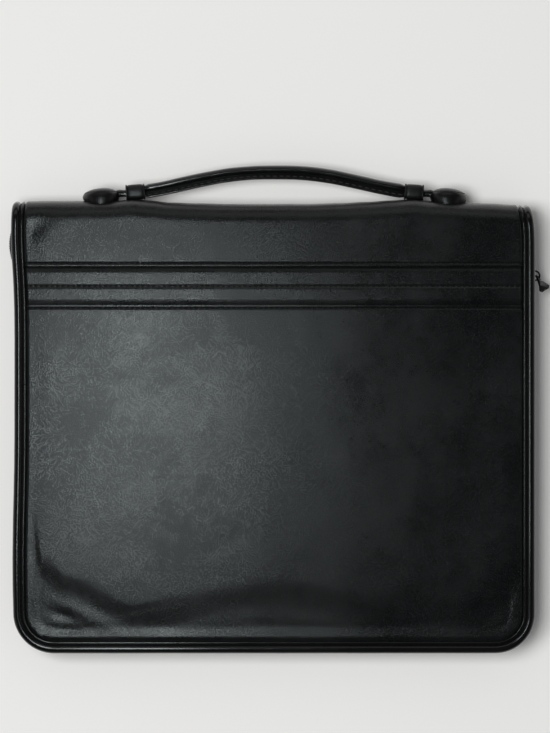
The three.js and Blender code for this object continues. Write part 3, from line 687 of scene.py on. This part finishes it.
coverForm = {
    "columns": 190, "frontRows": 34, "edgeZone": 0.17, "edgeRows": 0.45,
    "turnSteps": 14, "spineCuts": 8, "backCuts": 50, "edgeRound": 0.6,
    "stitchFromEdge": 1.9, "grooveDepth": 0.8, "grooveHalf": 0.6,
    "unevenness": 0.16, "backUnevenness": 0.05, "backSink": 0.05,
}


def makeCover():
    form = coverForm
    inner = halfWidth - edgeMargin
    piece, share, v = addGrid("caseCover", form["columns"], form["frontRows"])
    rise = gatherRows((v + 1) / 2, form["edgeZone"], form["edgeRows"])
    flat = np.stack([share * inner, seamHigh + (idealTurn - seamHigh) * rise, np.full_like(share, depth)], 1)
    writePoints(piece, flat)
    selectVertices(piece, flat[:, 1] > idealTurn - samePlace)
    spinRow(form["turnSteps"], -90, (1, 0, 0), (0, idealTurn, depth - turn))
    extrudeRow(form["spineCuts"], (0, 0, 2 * turn - depth))
    spinRow(form["turnSteps"], -90, (1, 0, 0), (0, idealTurn, turn))
    extrudeRow(form["backCuts"], (0, -idealTurn - halfHeight, 0))
    bpy.ops.object.mode_set(mode="OBJECT")

    x, y, z = readPoints(piece).T
    share = gatherSides(x / inner)
    x = share * inner
    overTurn = y > idealTurn + samePlace
    front = z > depth - turn - samePlace
    centreZ = np.where(front, depth - turn, np.where(z < turn, turn, z))
    outY = np.where(overTurn, (y - idealTurn) / turn, 0)
    outZ = np.where(overTurn, (z - centreZ) / turn, np.where(z > turn, 1, -1))
    foot = footLine(share)
    onBack = (z < samePlace) & ~overTurn
    y = np.where(onBack, foot + (idealTurn - foot) * (y + halfHeight) / (idealTurn + halfHeight), y)
    x, y, z = settle(np.stack([x, y, z], 1)).T
    side = sideReach(sideOf(x), y) - np.abs(x)
    distance = np.where(overTurn, side, edgeDistance(x, y))
    onFront = front & ~overTurn
    towardFront = np.where(overTurn, smooth(outZ, 0, 1), 1) * front
    out = towardFront * (frontRelief(x, y) + leatherUneven(x, y, form["unevenness"])) - edgeSink(distance)
    out += np.where(onBack, leatherUneven(x, y, form["backUnevenness"]) - form["backSink"], 0)
    out -= np.where(onFront, grooveAt(y - seamHigh, form), 0)
    writePoints(piece, np.stack([x, y + outY * out, z + outZ * out], 1))
    turnOutwards(piece)
    faceUp(piece, (0, 1, 0))
    makeWall(piece, caseForm["leather"], form["edgeRound"])
    return finishPiece(piece, coverLeather, nodes=["cover"])


print("front panel, band and cover")
frontPanel, insetBand, caseCover = makeFrontPanel(), makeBand(), makeCover()

# binding: a roll with a flat flange and a thin bead, once round the cover

bindingForm = {
    "sideSteps": 70, "cornerSteps": 16, "footSteps": 76, "spineTurnSteps": 10, "spineSteps": 6,
    "rollPoints": 20,
    "unevenness": 0.06, "unevenMiddle": 0.4, "beadFromEdge": 6.9, "grooveLeather": 0.35,
}
beadTurns = [0, 25, 50, 75, 100, 125, 150, 175, 195]  # degrees round the bead
rollLayers = [(17, 21, 0.7), (6, 22, 0.3)]  # size in mm, seed, share


def bindingSection():  # u from the outer edge inwards, w out of the face
    form = bindingForm
    roll, bead = caseForm["rollRadius"], caseForm["beadRadius"]
    under = caseForm["clearance"] - caseForm["edgeDrop"]
    rollW = -caseForm["clearance"] - roll
    groove = under + form["grooveLeather"]
    beadU, beadW = form["beadFromEdge"], under + bead
    start = math.asin((groove - rollW) / roll)
    end = 2 * math.pi + math.asin((under - rollW) / roll)
    turns = np.linspace(start, end, form["rollPoints"])
    section = [(roll + roll * math.cos(a), rollW + roll * math.sin(a)) for a in turns]
    section.append((beadU + bead, under))
    return section + [(beadU + bead * math.cos(a), beadW + bead * math.sin(a)) for a in np.radians(beadTurns)]


def makeBinding():
    form = bindingForm
    piece = sweepRound("edgeBinding", bindingSection(), lambda u, w: (u - halfWidth, idealTurn, depth + w))
    zAxis, xAxis = (0, 0, 1), (1, 0, 0)
    straight = idealTurn - cornerY
    across = 2 * (halfWidth - corner)
    left, right = (corner - halfWidth, cornerY), (halfWidth - corner, cornerY)
    extrudeRow(form["sideSteps"], (0, -straight, 0))
    spinRow(form["cornerSteps"], 90, zAxis, (*left, depth))
    extrudeRow(form["footSteps"], (across, 0, 0))
    spinRow(form["cornerSteps"], 90, zAxis, (*right, depth))
    extrudeRow(form["sideSteps"], (0, straight, 0))
    spinRow(form["spineTurnSteps"], -90, xAxis, (0, idealTurn, depth - turn))
    extrudeRow(form["spineSteps"], (0, 0, 2 * turn - depth))
    spinRow(form["spineTurnSteps"], -90, xAxis, (0, idealTurn, turn))
    extrudeRow(form["sideSteps"], (0, -straight, 0))
    spinRow(form["cornerSteps"], -90, zAxis, (*right, 0))
    extrudeRow(form["footSteps"], (-across, 0, 0))
    spinRow(form["cornerSteps"], -90, zAxis, (*left, 0))
    extrudeRow(form["sideSteps"], (0, straight, 0))
    spinRow(form["spineTurnSteps"], 90, xAxis, (0, idealTurn, turn))
    extrudeRow(form["spineSteps"], (0, 0, depth - 2 * turn))
    spinRow(form["spineTurnSteps"], 90, xAxis, (0, idealTurn, depth - turn))
    bpy.ops.object.mode_set(mode="OBJECT")
    turnOutwards(piece)
    points = settle(readPoints(piece))
    normals = np.array([vertex.normal[:] for vertex in piece.data.vertices])
    x, y, z = points.T
    (wide, seed, share), (fine, fineSeed, fineShare) = rollLayers
    swell = softNoise(x + y, y - z, wide, seed) * share + softNoise(x - z, y + z, fine, fineSeed) * fineShare
    points += normals * (form["unevenness"] * (swell - form["unevenMiddle"]))[:, None]
    writePoints(piece, points)
    smoothShade(piece, 60)
    return finishPiece(piece, bindingLeather, nodes=["edge_binding"])


print("binding")
edgeBinding = makeBinding()

# zip round three sides

zipForm = {
    "tapeThickness": 1.0, "inset": 2.6, "chainWidth": 6.0, "chainDepth": 2.6, "bulge": 3.6, "gape": 1.2,
    "sliderY": 99.0, "topShare": 0.92, "pitch": 1.6, "toothRadius": 0.62, "toothOverlap": 0.3, "meshing": 0.1,
    "tapeRows": 9, "sideSteps": 90, "cornerSteps": 14, "footSteps": 70, "walkStep": 0.5, "cornerPoints": 60,
}
zipTop = idealTurn + (turn - edgeMargin - caseForm["clearance"]) * zipForm["topShare"]
zipZ = depth / 2


def zipOut(side, y):
    return zipForm["bulge"] * sumBumps(zipBulges, side, y)


def zipGape(x, y):  # how far each side of the zip stands off past the slider
    opened = smooth(y, zipForm["sliderY"], halfHeight - turn)
    return np.where((x > 0) & (y > zipForm["sliderY"]), zipForm["gape"] * opened, 0)


def rimLine(inset, top, step, cornerPoints):  # round the straight case: x, y and the way inwards
    reach = corner - inset
    line = [(inset - halfWidth, y, 1, 0) for y in np.arange(top, cornerY, -step)]
    for a in np.linspace(0, math.pi / 2, cornerPoints):
        c, s = math.cos(a), math.sin(a)
        line.append((corner - halfWidth - reach * c, cornerY - reach * s, c, s))
    for x in np.arange(corner - halfWidth, halfWidth - corner, step)[1:]:
        line.append((x, inset - halfHeight, 0, 1))
    for a in np.linspace(math.pi / 2, 0, cornerPoints):
        c, s = math.cos(a), math.sin(a)
        line.append((halfWidth - corner + reach * c, cornerY - reach * s, -c, s))
    line += [(halfWidth - inset, y, -1, 0) for y in np.arange(cornerY, top, step)[1:]]
    return np.array(line)


def walkRim(inset, step):  # places at an even step along the zip
    line = rimLine(inset, zipTop, zipForm["walkStep"], zipForm["cornerPoints"])
    along = alongLine(line[:, :2])
    at = np.arange(0, along[-1], step)
    return np.stack([np.interp(at, along, column) for column in line.T], 1)


def makeTape(facing):
    form = zipForm
    thick, inset = form["tapeThickness"], form["inset"]
    inner = form["chainWidth"] / 2 + caseForm["clearance"]
    reach = depth / 2 - edgeMargin - caseForm["clearance"]
    rows = np.linspace(inner, reach, form["tapeRows"])
    section = [(inset - thick / 2, facing * r) for r in rows]
    section += [(inset + thick / 2, facing * r) for r in rows[::-1]]
    name = "Front" if facing > 0 else "Back"
    piece = sweepRound("zipTape" + name, section, lambda u, w: (u - halfWidth, zipTop, zipZ + w))
    straight, across = zipTop - cornerY, 2 * (halfWidth - corner)
    extrudeRow(form["sideSteps"], (0, -straight, 0))
    spinRow(form["cornerSteps"], 90, (0, 0, 1), (corner - halfWidth, cornerY, depth))
    extrudeRow(form["footSteps"], (across, 0, 0))
    spinRow(form["cornerSteps"], 90, (0, 0, 1), (halfWidth - corner, cornerY, depth))
    extrudeRow(form["sideSteps"], (0, straight, 0))
    bpy.ops.object.mode_set(mode="OBJECT")
    points = readPoints(piece)
    selectVertices(piece, points[:, 1] > zipTop - samePlace)
    bpy.ops.mesh.select_mode(type="EDGE")
    bpy.ops.mesh.edge_face_add()
    bpy.ops.object.mode_set(mode="OBJECT")
    x, y, z = points.T
    apart = np.clip((np.abs(z - zipZ) - inner) / (reach - inner), 0, 1)
    onSide = np.abs(x) > halfWidth - inset - thick
    out = np.where(onSide, zipOut(np.sign(x), y) * (1 - apart**2), 0)
    points = settle(points)
    points[:, 0] += np.sign(x) * out
    points[:, 2] += facing * zipGape(x, points[:, 1]) * (1 - apart)
    writePoints(piece, points)
    turnOutwards(piece)
    smoothShade(piece, 40)
    return finishPiece(piece, wovenTape, nodes=["zip_tape_" + name.lower()])


def addBead(name, length, radius, high=None):  # a short round-ended bar along x
    startPiece()
    bpy.ops.mesh.primitive_uv_sphere_add(segments=8, ring_count=6, radius=1, rotation=(0, math.pi / 2, 0))
    bpy.ops.object.transform_apply(location=False, rotation=True, scale=True)
    bead = bpy.context.object
    bead.name = name
    points = readPoints(bead) * mm
    shaft = length / 2 - radius
    ends = np.sign(np.round(points, 3)) * np.array([shaft, 0, 0])
    writePoints(bead, points * np.array([radius, radius, high or radius]) + ends)
    return bead


def copyTo(name, pattern, places):  # places: where, along, upwards; all copies become one piece
    startPiece()
    for where, along, up in places:
        along, up = Vector(along).normalized(), Vector(up).normalized()
        side = up.cross(along).normalized()
        up = along.cross(side)
        bead = pattern.copy()
        bead.data = pattern.data.copy()
        turned = Matrix((along, side, up)).transposed().to_4x4()
        turned.translation = Vector(where) * mm
        bead.matrix_world = turned
        bpy.context.collection.objects.link(bead)
        bead.select_set(True)
        bpy.context.view_layer.objects.active = bead
    bpy.ops.object.join()
    bpy.ops.object.transform_apply(location=True, rotation=True, scale=True)
    piece = bpy.context.object
    piece.name = name
    bpy.data.objects.remove(pattern, do_unlink=True)
    smoothShade(piece, 80)
    return piece


def makeTeeth():  # two rows of teeth, half a pitch apart
    form = zipForm
    length = form["chainWidth"] / 2 + form["toothOverlap"]
    bead = addBead("tooth", length, form["toothRadius"], form["chainDepth"] / 2)
    places = []
    for first, facing in ((0, 1), (1, -1)):
        for x, y, inX, inY in walkRim(form["inset"], form["pitch"] / 2)[first::2]:
            gap = float(zipGape(x, y - idealTurn + turnStart(x)))
            spread = facing * (form["chainWidth"] / 4 - form["meshing"] + gap)
            places.append(((x, y, zipZ + spread), (0, 0, 1), (-inX, -inY, 0)))
    piece = copyTo("zipTeeth", bead, places)
    points = readPoints(piece)
    x, y, z = points.T
    out = np.where(np.abs(x) > halfWidth - corner, zipOut(np.sign(x), y), 0)
    points = settle(points)
    points[:, 0] += np.sign(x) * out
    writePoints(piece, points)
    return finishPiece(piece, nylonTeeth, nodes=["zip_teeth", "zip_row_front", "zip_row_back"])


def makeMetal(name, node, body, edgeRound):  # the solid's own shape with its edges rounded
    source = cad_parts[node]
    piece = source.copy()
    piece.data = source.data.copy()
    piece.parent = None
    piece.matrix_world = source.matrix_world
    for key in list(piece.keys()):
        del piece[key]
    piece.name = name
    bpy.context.collection.objects.link(piece)
    pickPiece(piece)
    bpy.ops.object.transform_apply(location=True, rotation=True, scale=True)
    bpy.ops.object.mode_set(mode="EDIT")
    bpy.ops.mesh.select_all(action="SELECT")
    bpy.ops.mesh.remove_doubles(threshold=0.00002)
    bpy.ops.mesh.dissolve_limited(angle_limit=math.radians(2))
    bpy.ops.object.mode_set(mode="OBJECT")
    roundEdges(piece, edgeRound, angle=35, use_clamp_overlap=True)
    smoothShade(piece, 40)
    return finishPiece(piece, blackEnamel, body=body, nodes=[node])


print("zip")
tapeFront, tapeBack = makeTape(1), makeTape(-1)
teeth = makeTeeth()
zipSlider = makeMetal("zipSlider", "zip_slider", "case", 0.25)
zipPull = makeMetal("zipPull", "zip_pull", "pull", 0.3)

# handle: a roll with a stitched flange, arched from keeper to keeper

handleForm = {
    "keeperPlace": 91.4, "seat": 5.8, "rise": 12.8, "archSteps": 40, "steps": 120,
    "roll": 2.5, "rollDepth": 3.4, "rollPoints": 11, "crease": 0.92,
    "waver": 0.035, "waverSize": 11, "waverSeed": 31,
    "flangeDepth": 1.5, "endSize": 0.82, "endFlat": 0.92, "bulgeFrom": 5.8, "bulgeTo": 9.5,
    "stitchPitch": 4.4, "stitchAt": -2.3, "stitchOut": 0.75, "stitchLength": 2.6, "stitchRadius": 0.26,
    "firstStitch": 9, "lastStitch": 8,
}
flangeProfile = [  # place below the grip's line, share of the flange's depth
    (-0.35, 0.6), (-0.9, 0.64), (-2.0, 0.72), (-2.9, 0.82), (-3.4, 0.95), (-3.8, 1), (-4.2, 0.85),
    (-4.43, 0.45), (-4.5, 0),
]
keeperForm = {"height": 9.8, "depth": 9.2, "wall": 0.9, "squareness": 2.7, "points": 48, "edgeRound": 0.2}
keeperProfile = [  # place along the keeper, how far it stands out
    (-6.25, -0.15), (-6.15, 0.2), (-5.9, 0.35), (-5.55, 0.3), (-5.25, -0.05), (-4.95, -0.28), (-4.65, -0.05),
    (-4.2, 0.12), (-2.5, 0.2), (0, 0.24), (2.5, 0.2), (4.2, 0.12), (4.65, -0.05), (4.95, -0.28),
    (5.25, -0.05), (5.55, 0.3), (5.9, 0.35), (6.15, 0.2), (6.25, -0.15),
]
gripArch = [  # share of the way to a keeper, share of the rise
    (0, 1), (0.2, 0.965), (0.4, 0.79), (0.58, 0.53), (0.75, 0.262), (0.9, 0.06), (1, 0),
]


def archLine():  # dense points of the grip's middle line in x and y
    knots = np.array([(-at, rise) for at, rise in gripArch[:0:-1]] + gripArch)
    knots = knots * [handleForm["keeperPlace"], handleForm["rise"]] + [0, halfHeight + handleForm["seat"]]
    ends = np.vstack([2 * knots[0] - knots[1], knots, 2 * knots[-1] - knots[-2]])
    line = []
    for i in range(1, len(ends) - 2):
        a, b, c, d = ends[i - 1:i + 3]
        for t in np.linspace(0, 1, handleForm["archSteps"], endpoint=False):
            square, cube = 2 * a - 5 * b + 4 * c - d, 3 * b - a - 3 * c + d
            line.append(0.5 * (2 * b + (c - a) * t + square * t**2 + cube * t**3))
    line = np.array(line + [knots[-1]])
    return line, alongLine(line)


archPoints, archAlong = archLine()
archLength = archAlong[-1]


def onArch(s):  # place and direction at a length along the grip, from the left keeper
    def at(lengths):
        return np.stack([np.interp(lengths, archAlong, archPoints[:, i]) for i in (0, 1)], -1)

    s = np.asarray(s, float)
    step = 1.0
    inside = np.clip(s, step, archLength - step)
    way = at(inside + step) - at(inside - step)
    way = way / np.linalg.norm(way, axis=-1, keepdims=True)
    past = (s - np.clip(s, 0, archLength))[..., None]
    return at(s) + way * past, way


def bendOnArch(points):  # straight along x with y outwards from the spine, to the grip's arch
    at, way = onArch(points[:, 0])
    up = np.stack([-way[:, 1], way[:, 0]], 1)
    xy = at + up * points[:, 1:2]
    return np.column_stack([xy, points[:, 2] + zipZ])


def gripSection():  # height from the line, depth
    form = handleForm
    middle = form["roll"] - caseForm["clearance"]
    crease = -math.asin(middle / form["roll"]) * form["crease"]
    turns = np.linspace(math.pi / 2, crease, form["rollPoints"])
    half = [(middle + form["roll"] * math.sin(a), form["rollDepth"] * math.cos(a)) for a in turns]
    half += [(place, form["flangeDepth"] * share) for place, share in flangeProfile]
    return half + [(n, -z) for n, z in half[-2:0:-1]]


def gripSize(s):  # shares of its full height and depth that the grip has there
    form = handleForm
    grown = smooth(np.minimum(s, archLength - s), form["bulgeFrom"], form["bulgeTo"])
    high = form["endSize"] + (1 - form["endSize"]) * grown
    return high, high * (form["endFlat"] + (1 - form["endFlat"]) * grown)


def makeGrip():
    form = handleForm
    piece = sweepRound("handleGrip", gripSection(), lambda n, z: (0, n, z))
    extrudeRow(form["steps"], (archLength, 0, 0))
    points = capEnds(piece, (0, archLength))
    high, deep = gripSize(points[:, 0])
    points[:, 1] *= high
    points[:, 2] *= deep
    onRoll = np.clip(points[:, 1] / 2, 0, 1)
    waver = softNoise(points[:, 0], points[:, 2], form["waverSize"], form["waverSeed"])
    points[:, 1:] *= 1 + (onRoll * form["waver"] * waver)[:, None]
    writePoints(piece, bendOnArch(points))
    turnOutwards(piece)
    smoothShade(piece, 60)
    return finishPiece(piece, handleLeather, nodes=["handle"])


def makeKeeper(side):
    form = keeperForm
    name = sideName(side)
    high, wide = form["height"] / 2, form["depth"] / 2
    piece = addSleeve("keeper" + name, form["points"], high, wide, form["squareness"])
    extrudeRow(len(keeperProfile) - 1, (len(keeperProfile) - 1, 0, 0))
    bpy.ops.object.mode_set(mode="OBJECT")
    points = readPoints(piece)
    along, grown = np.array(keeperProfile)[np.round(points[:, 0]).astype(int)].T
    points[:, 0] = (0 if side < 0 else archLength) + along
    points[:, 1] *= 1 + grown / high
    points[:, 2] *= 1 + grown / wide
    writePoints(piece, bendOnArch(points))
    turnOutwards(piece)
    applyModifier(piece, "SOLIDIFY", thickness=form["wall"] * mm, offset=-1)
    roundEdges(piece, form["edgeRound"], segments=2, angle=60)
    smoothShade(piece, 60)
    return finishPiece(piece, keeperLeather, nodes=["keeper_" + name.lower()])


# oval tabs: a padded oval sewn on the spine, and the neck from it into the keeper

tabForm = {
    "tip": 127.2, "inner": 100.6, "halfDepth": 16.4, "height": 8.8, "seat": 0.45, "flatness": 2.4,
    "edge": 2.3, "undercut": 0.3, "tuckIn": 0.13, "segments": 72, "rings": 56, "fill": 0.8,
    "rimShare": 0.8, "groove": 0.05, "grooveHalf": 0.035, "sewnDepth": 10.8, "stitches": 27,
    "stitchLength": 1.9, "stitchRadius": 0.28,
}
tabMiddle, tabHalf = (tabForm["tip"] + tabForm["inner"]) / 2, (tabForm["tip"] - tabForm["inner"]) / 2
tabTops = [  # share of the way from the tip to the keeper side, share of the height
    (0, 0.82), (0.2, 0.88), (0.4, 0.93), (0.62, 0.98), (0.8, 1.0), (1, 1.0),
]
neckForm = {
    "end": 92.0, "from": 107.0, "top": 7.6, "under": 2.4, "width": 6.4, "squareness": 3.0, "points": 32,
    "steps": 24, "sag": 0.12, "sagReach": 1.4, "dip": 1.2, "dipFrom": 0.6, "flare": 0.25, "flareFrom": 0.3,
}


def spineAt(x, z):
    flat = spineTop(x) - caseForm["swell"]
    front = frontBase(turnStart(x)) - turn
    level = flat + caseForm["swell"] * np.sin(np.pi * np.clip((z - turn) / (front - turn), 0, 1))
    past = np.maximum(z - front, 0) + np.maximum(turn - z, 0)
    rounded = flat - turn + np.sqrt(np.maximum(turn**2 - past**2, 0))
    return np.where(past > 0, rounded, level)


def makeTab(side):
    form = tabForm
    startPiece()
    bpy.ops.mesh.primitive_uv_sphere_add(segments=form["segments"], ring_count=form["rings"], radius=1)
    piece = bpy.context.object
    piece.name = "handlePad" + sideName(side)
    u, v, w = (readPoints(piece) * mm).T
    upper = w > -0.001
    r = np.clip(np.hypot(u, v), 0, 1)
    x = side * (tabMiddle + u * tabHalf)
    z = zipZ + v * form["halfDepth"]
    base = spineAt(x, z) + form["seat"]
    top = halfHeight + form["height"] * np.interp((1 - u) / 2, *zip(*tabTops))
    full = np.clip(1 - r ** form["flatness"], 0, 1) ** (1 / form["edge"])
    sewn = form["groove"] * np.exp(-(((r - form["rimShare"]) / form["grooveHalf"]) ** 2))
    y = np.where(upper, base + (top - base) * full - sewn, base)
    low = np.where(upper, 1 - full, 1)
    x = side * (tabMiddle + u * tabHalf * (1 - form["tuckIn"] * low**2))
    z = zipZ + (z - zipZ) * (1 - form["undercut"] * low)
    writePoints(piece, np.stack([x, y, z], 1))
    turnOutwards(piece)
    smoothShade(piece, 60)
    finishPiece(piece, padLeather, nodes=["handle_tab_" + sideName(side).lower()])
    return piece


def makeNeck(side):
    form = neckForm
    piece = addSleeve("handleNeck" + sideName(side), form["points"], 1, 1, form["squareness"])
    extrudeRow(form["steps"], (form["steps"], 0, 0))
    points = capEnds(piece, (0, form["steps"]))
    t = points[:, 0] / form["steps"]
    x = side * (form["end"] + (form["from"] - form["end"]) * t)
    level = halfHeight + (form["top"] + form["under"]) / 2
    high = (form["top"] - form["under"]) / 2
    sag = 1 - form["sag"] * np.sin(np.pi * np.clip(t * form["sagReach"], 0, 1))
    y = level + high * sag * points[:, 1] - form["dip"] * smooth(t, form["dipFrom"], 1)
    z = zipZ + form["width"] / 2 * points[:, 2] * (1 + form["flare"] * smooth(t, form["flareFrom"], 1))
    writePoints(piece, np.stack([x, y, z], 1))
    turnOutwards(piece)
    smoothShade(piece, 60)
    return finishPiece(piece, handleLeather)


print("handle")
handleGrip = makeGrip()
keepers = [makeKeeper(side) for side in (-1, 1)]
tabs = [makeTab(side) for side in (-1, 1)]
necks = [makeNeck(side) for side in (-1, 1)]

# stitches

stitchForm = {
    "pitch": 3.5, "length": 2.75, "radius": 0.55, "flat": 0.495, "sink": 0.25, "slant": 9, "fromRim": 10.5,
    "rimInset": 5.65, "rimLevel": 0.5, "rimRadius": 0.3,
}
farOut = 200.0  # mm, well outside the case: rays to a surface start there
loopForm = {"step": 1.0, "cornerPoints": 40, "turnPoints": 20, "look": 0.4, "shortest": 0.1}


def treeOf(piece):
    mesh = piece.data
    return BVHTree.FromPolygons([v.co for v in mesh.vertices], [p.vertices for p in mesh.polygons])


def makeSeam(name, piece, y, slotName, radius=None, length=None):  # stitches in a row across the front
    form = stitchForm
    tree = treeOf(piece)
    turned = math.radians(form["slant"])
    places = []
    for x in np.arange(form["fromRim"] - halfWidth, halfWidth - form["fromRim"], form["pitch"]):
        hit, normal, _, _ = tree.ray_cast(Vector((x, y, farOut)) * mm, Vector((0, 0, -1)))
        if hit:
            places.append((hit / mm - normal * form["sink"], (math.cos(turned), math.sin(turned), 0), normal))
    bead = addBead("stitch", length or form["length"], radius or form["radius"], form["flat"])
    return finishPiece(copyTo(name, bead, places), thread)


def ringRoute(inset):  # the binding's whole loop on the straight case: place, way outwards
    face = rimLine(inset, idealTurn, loopForm["step"], loopForm["cornerPoints"])
    route = [(x, y, depth, 0, 0, 1) for x, y, _, _ in face]
    for start, end, middleZ in ((math.pi / 2, 0, depth - turn), (0, -math.pi / 2, turn)):
        for a in np.linspace(start, end, loopForm["turnPoints"]):
            c, s = math.cos(a), math.sin(a)
            route.append((halfWidth - inset, idealTurn + turn * c, middleZ + turn * s, 0, c, s))
    route = np.array(route)
    mirrored = route[::-1] * [-1, 1, -1, 1, 1, -1] + [0, 0, depth, 0, 0, 0]
    return np.vstack([route, mirrored])


def makeBindingStitches():
    form = stitchForm
    route = ringRoute(form["rimInset"])
    along = alongLine(route[:, :3])

    def at(lengths):
        return np.stack([np.interp(lengths, along, column) for column in route.T], 1)

    lengths = np.arange(0, along[-1], form["pitch"])
    ways = (at(lengths + loopForm["look"]) - at(lengths - loopForm["look"]))[:, :3]
    level = caseForm["clearance"] - caseForm["edgeDrop"] + form["rimLevel"]
    places = []
    for row, way in zip(at(lengths), ways):
        if np.linalg.norm(way) > loopForm["shortest"]:
            places.append((row[:3] + row[3:] * level, way, row[3:]))
    seam = copyTo("stitchesBinding", addBead("stitch", form["length"], form["rimRadius"]), places)
    writePoints(seam, settle(readPoints(seam)))
    return finishPiece(seam, thread)


def makeGripStitches():
    form = handleForm
    places = []
    for s in np.arange(form["firstStitch"], archLength - form["lastStitch"], form["stitchPitch"]):
        for facing in (1, -1):
            a, b = bendOnArch(np.array([[s - 1, form["stitchAt"], 0], [s + 1, form["stitchAt"], 0]]))
            out = form["flangeDepth"] * form["stitchOut"] * gripSize(s)[1]
            places.append(((a + b) / 2 + [0, 0, facing * out], b - a, (0, 0, facing)))
    seam = copyTo("stitchesHandle", addBead("stitch", form["stitchLength"], form["stitchRadius"]), places)
    return finishPiece(seam, handleThread)


def makeTabStitches(side, pad):
    form = tabForm
    tree = treeOf(pad)
    spots = []
    for a in np.linspace(0, 2 * math.pi, form["stitches"], endpoint=False):
        x = side * (tabMiddle + math.cos(a) * tabHalf * form["rimShare"])
        z = zipZ + math.sin(a) * form["sewnDepth"]
        hit, _, _, _ = tree.ray_cast(Vector((x, farOut, z)) * mm, Vector((0, -1, 0)))
        spots.append(hit / mm)
    places = []
    for i, spot in enumerate(spots):
        places.append((spot, spots[(i + 1) % len(spots)] - spots[i - 1], (0, 1, 0)))
    bead = addBead("stitch", form["stitchLength"], form["stitchRadius"])
    return finishPiece(copyTo("stitchesPad" + sideName(side), bead, places), handleThread)


print("stitches")
seamCover = makeSeam("stitchesUpper", caseCover, seamHigh + coverForm["stitchFromEdge"], "cover_leather")
bandStitch = bandForm["stitchRadius"], bandForm["stitchLength"]
seamBand = makeSeam("stitchesBand", insetBand, bandSeam, "panel_leather", *bandStitch)
seamPanel = makeSeam("stitchesLower", frontPanel, seamLow - panelForm["stitchFromEdge"], "panel_leather")
bindingStitches, gripStitches = makeBindingStitches(), makeGripStitches()
tabStitches = [makeTabStitches(side, pad) for side, pad in zip((-1, 1), tabs)]

# floor, camera and light

roomForm = {  # metres; the lights and the camera of the photo
    "floor": (0.80, 0.795, 0.775, 1), "floorLight": (0.83, 0.825, 0.81, 1), "floorCloud": 400,
    "floorSize": 12,
    "world": 0.28, "sky": (0.97, 0.985, 1, 1),
    "cameraFar": 3.0, "frameHigh": 0.478, "middleX": 0.00016, "middleY": 0.0394, "sensor": 36,
}
diffuseLights = [  # name, place, what it looks at, watts, size
    ("keyLight", (-0.72, 0.08, 2.8), (0, 0, 0), 64.0, (1.15, 1.15)),
]
glossyLights = [  # the strip stands over the left half of the front, the others low and all round
    ("stripLight", (-0.112, 0.02, 0.45), (-0.112, 0.02, 0), 0.72, (0.08, 0.26)),
    ("topLight", (-0.1, 0.95, 0.65), (0, 0.15, 0), 1.1, (1.4, 0.5)),
    ("leftLight", (-1.3, 0, 0.5), (0, 0, 0), 0.7, (1.2, 0.35)),
    ("rightLight", (1.3, 0, 0.5), (0, 0, 0), 0.7, (1.2, 0.35)),
    ("footLight", (0, -1.3, 0.5), (0, 0, 0), 0.12, (1.2, 0.35)),
    ("backLight", (0, 1.3, 0.5), (0, 0, 0), 0.2, (1.2, 0.35)),
]
lightColours = {"stripLight": (0.9, 1.0, 1.01)}


def makeFloor():
    form = roomForm
    startPiece()
    bpy.ops.mesh.primitive_plane_add(size=form["floorSize"], location=(0, 0, 0))
    floor = bpy.context.object
    floor.name = "paleFloor"
    sheet = shaderSheet("palePaper", {"Roughness": 0.95, "Specular IOR Level": 0.0})
    cloud = sheet.noise(form["floorCloud"], detail=2)
    sheet.feed("Base Color", sheet.mix(cloud, form["floor"], form["floorLight"]))
    floor.data.materials.append(sheet.material)


def addLight(name, where, at, energy, size, diffuse):  # seen by matt or by shiny surfaces only
    light = bpy.data.lights.new(name, "AREA")
    light.energy, light.color = energy, lightColours.get(name, (1, 1, 1))
    light.shape = "RECTANGLE"
    light.size, light.size_y = size
    lamp = bpy.data.objects.new(name, light)
    lamp.location = where
    lamp.rotation_euler = (Vector(at) - Vector(where)).to_track_quat("-Z", "Y").to_euler()
    lamp.visible_camera = False
    lamp.visible_diffuse = diffuse
    lamp.visible_glossy = not diffuse
    bpy.context.collection.objects.link(lamp)


def makeRoom():
    form = roomForm
    scene = bpy.context.scene
    scene.view_settings.view_transform = "Standard"
    world = bpy.data.worlds.new("studio")
    scene.world = world
    world.use_nodes = True
    background = world.node_tree.nodes["Background"]
    background.inputs["Color"].default_value = form["sky"]
    background.inputs["Strength"].default_value = form["world"]
    world.cycles_visibility.glossy = False
    for row in diffuseLights:
        addLight(*row, True)
    for row in glossyLights:
        addLight(*row, False)
    camera = bpy.data.cameras.new("photoCamera")
    camera.sensor_fit = "VERTICAL"
    camera.sensor_height = form["sensor"]
    camera.lens = form["sensor"] * form["cameraFar"] / form["frameHigh"]
    eye = bpy.data.objects.new("photoCamera", camera)
    eye.location = (form["middleX"], form["middleY"], depth * mm + form["cameraFar"])
    bpy.context.collection.objects.link(eye)
    scene.camera = eye


print("room")
makeFloor()
makeRoom()

print("done")
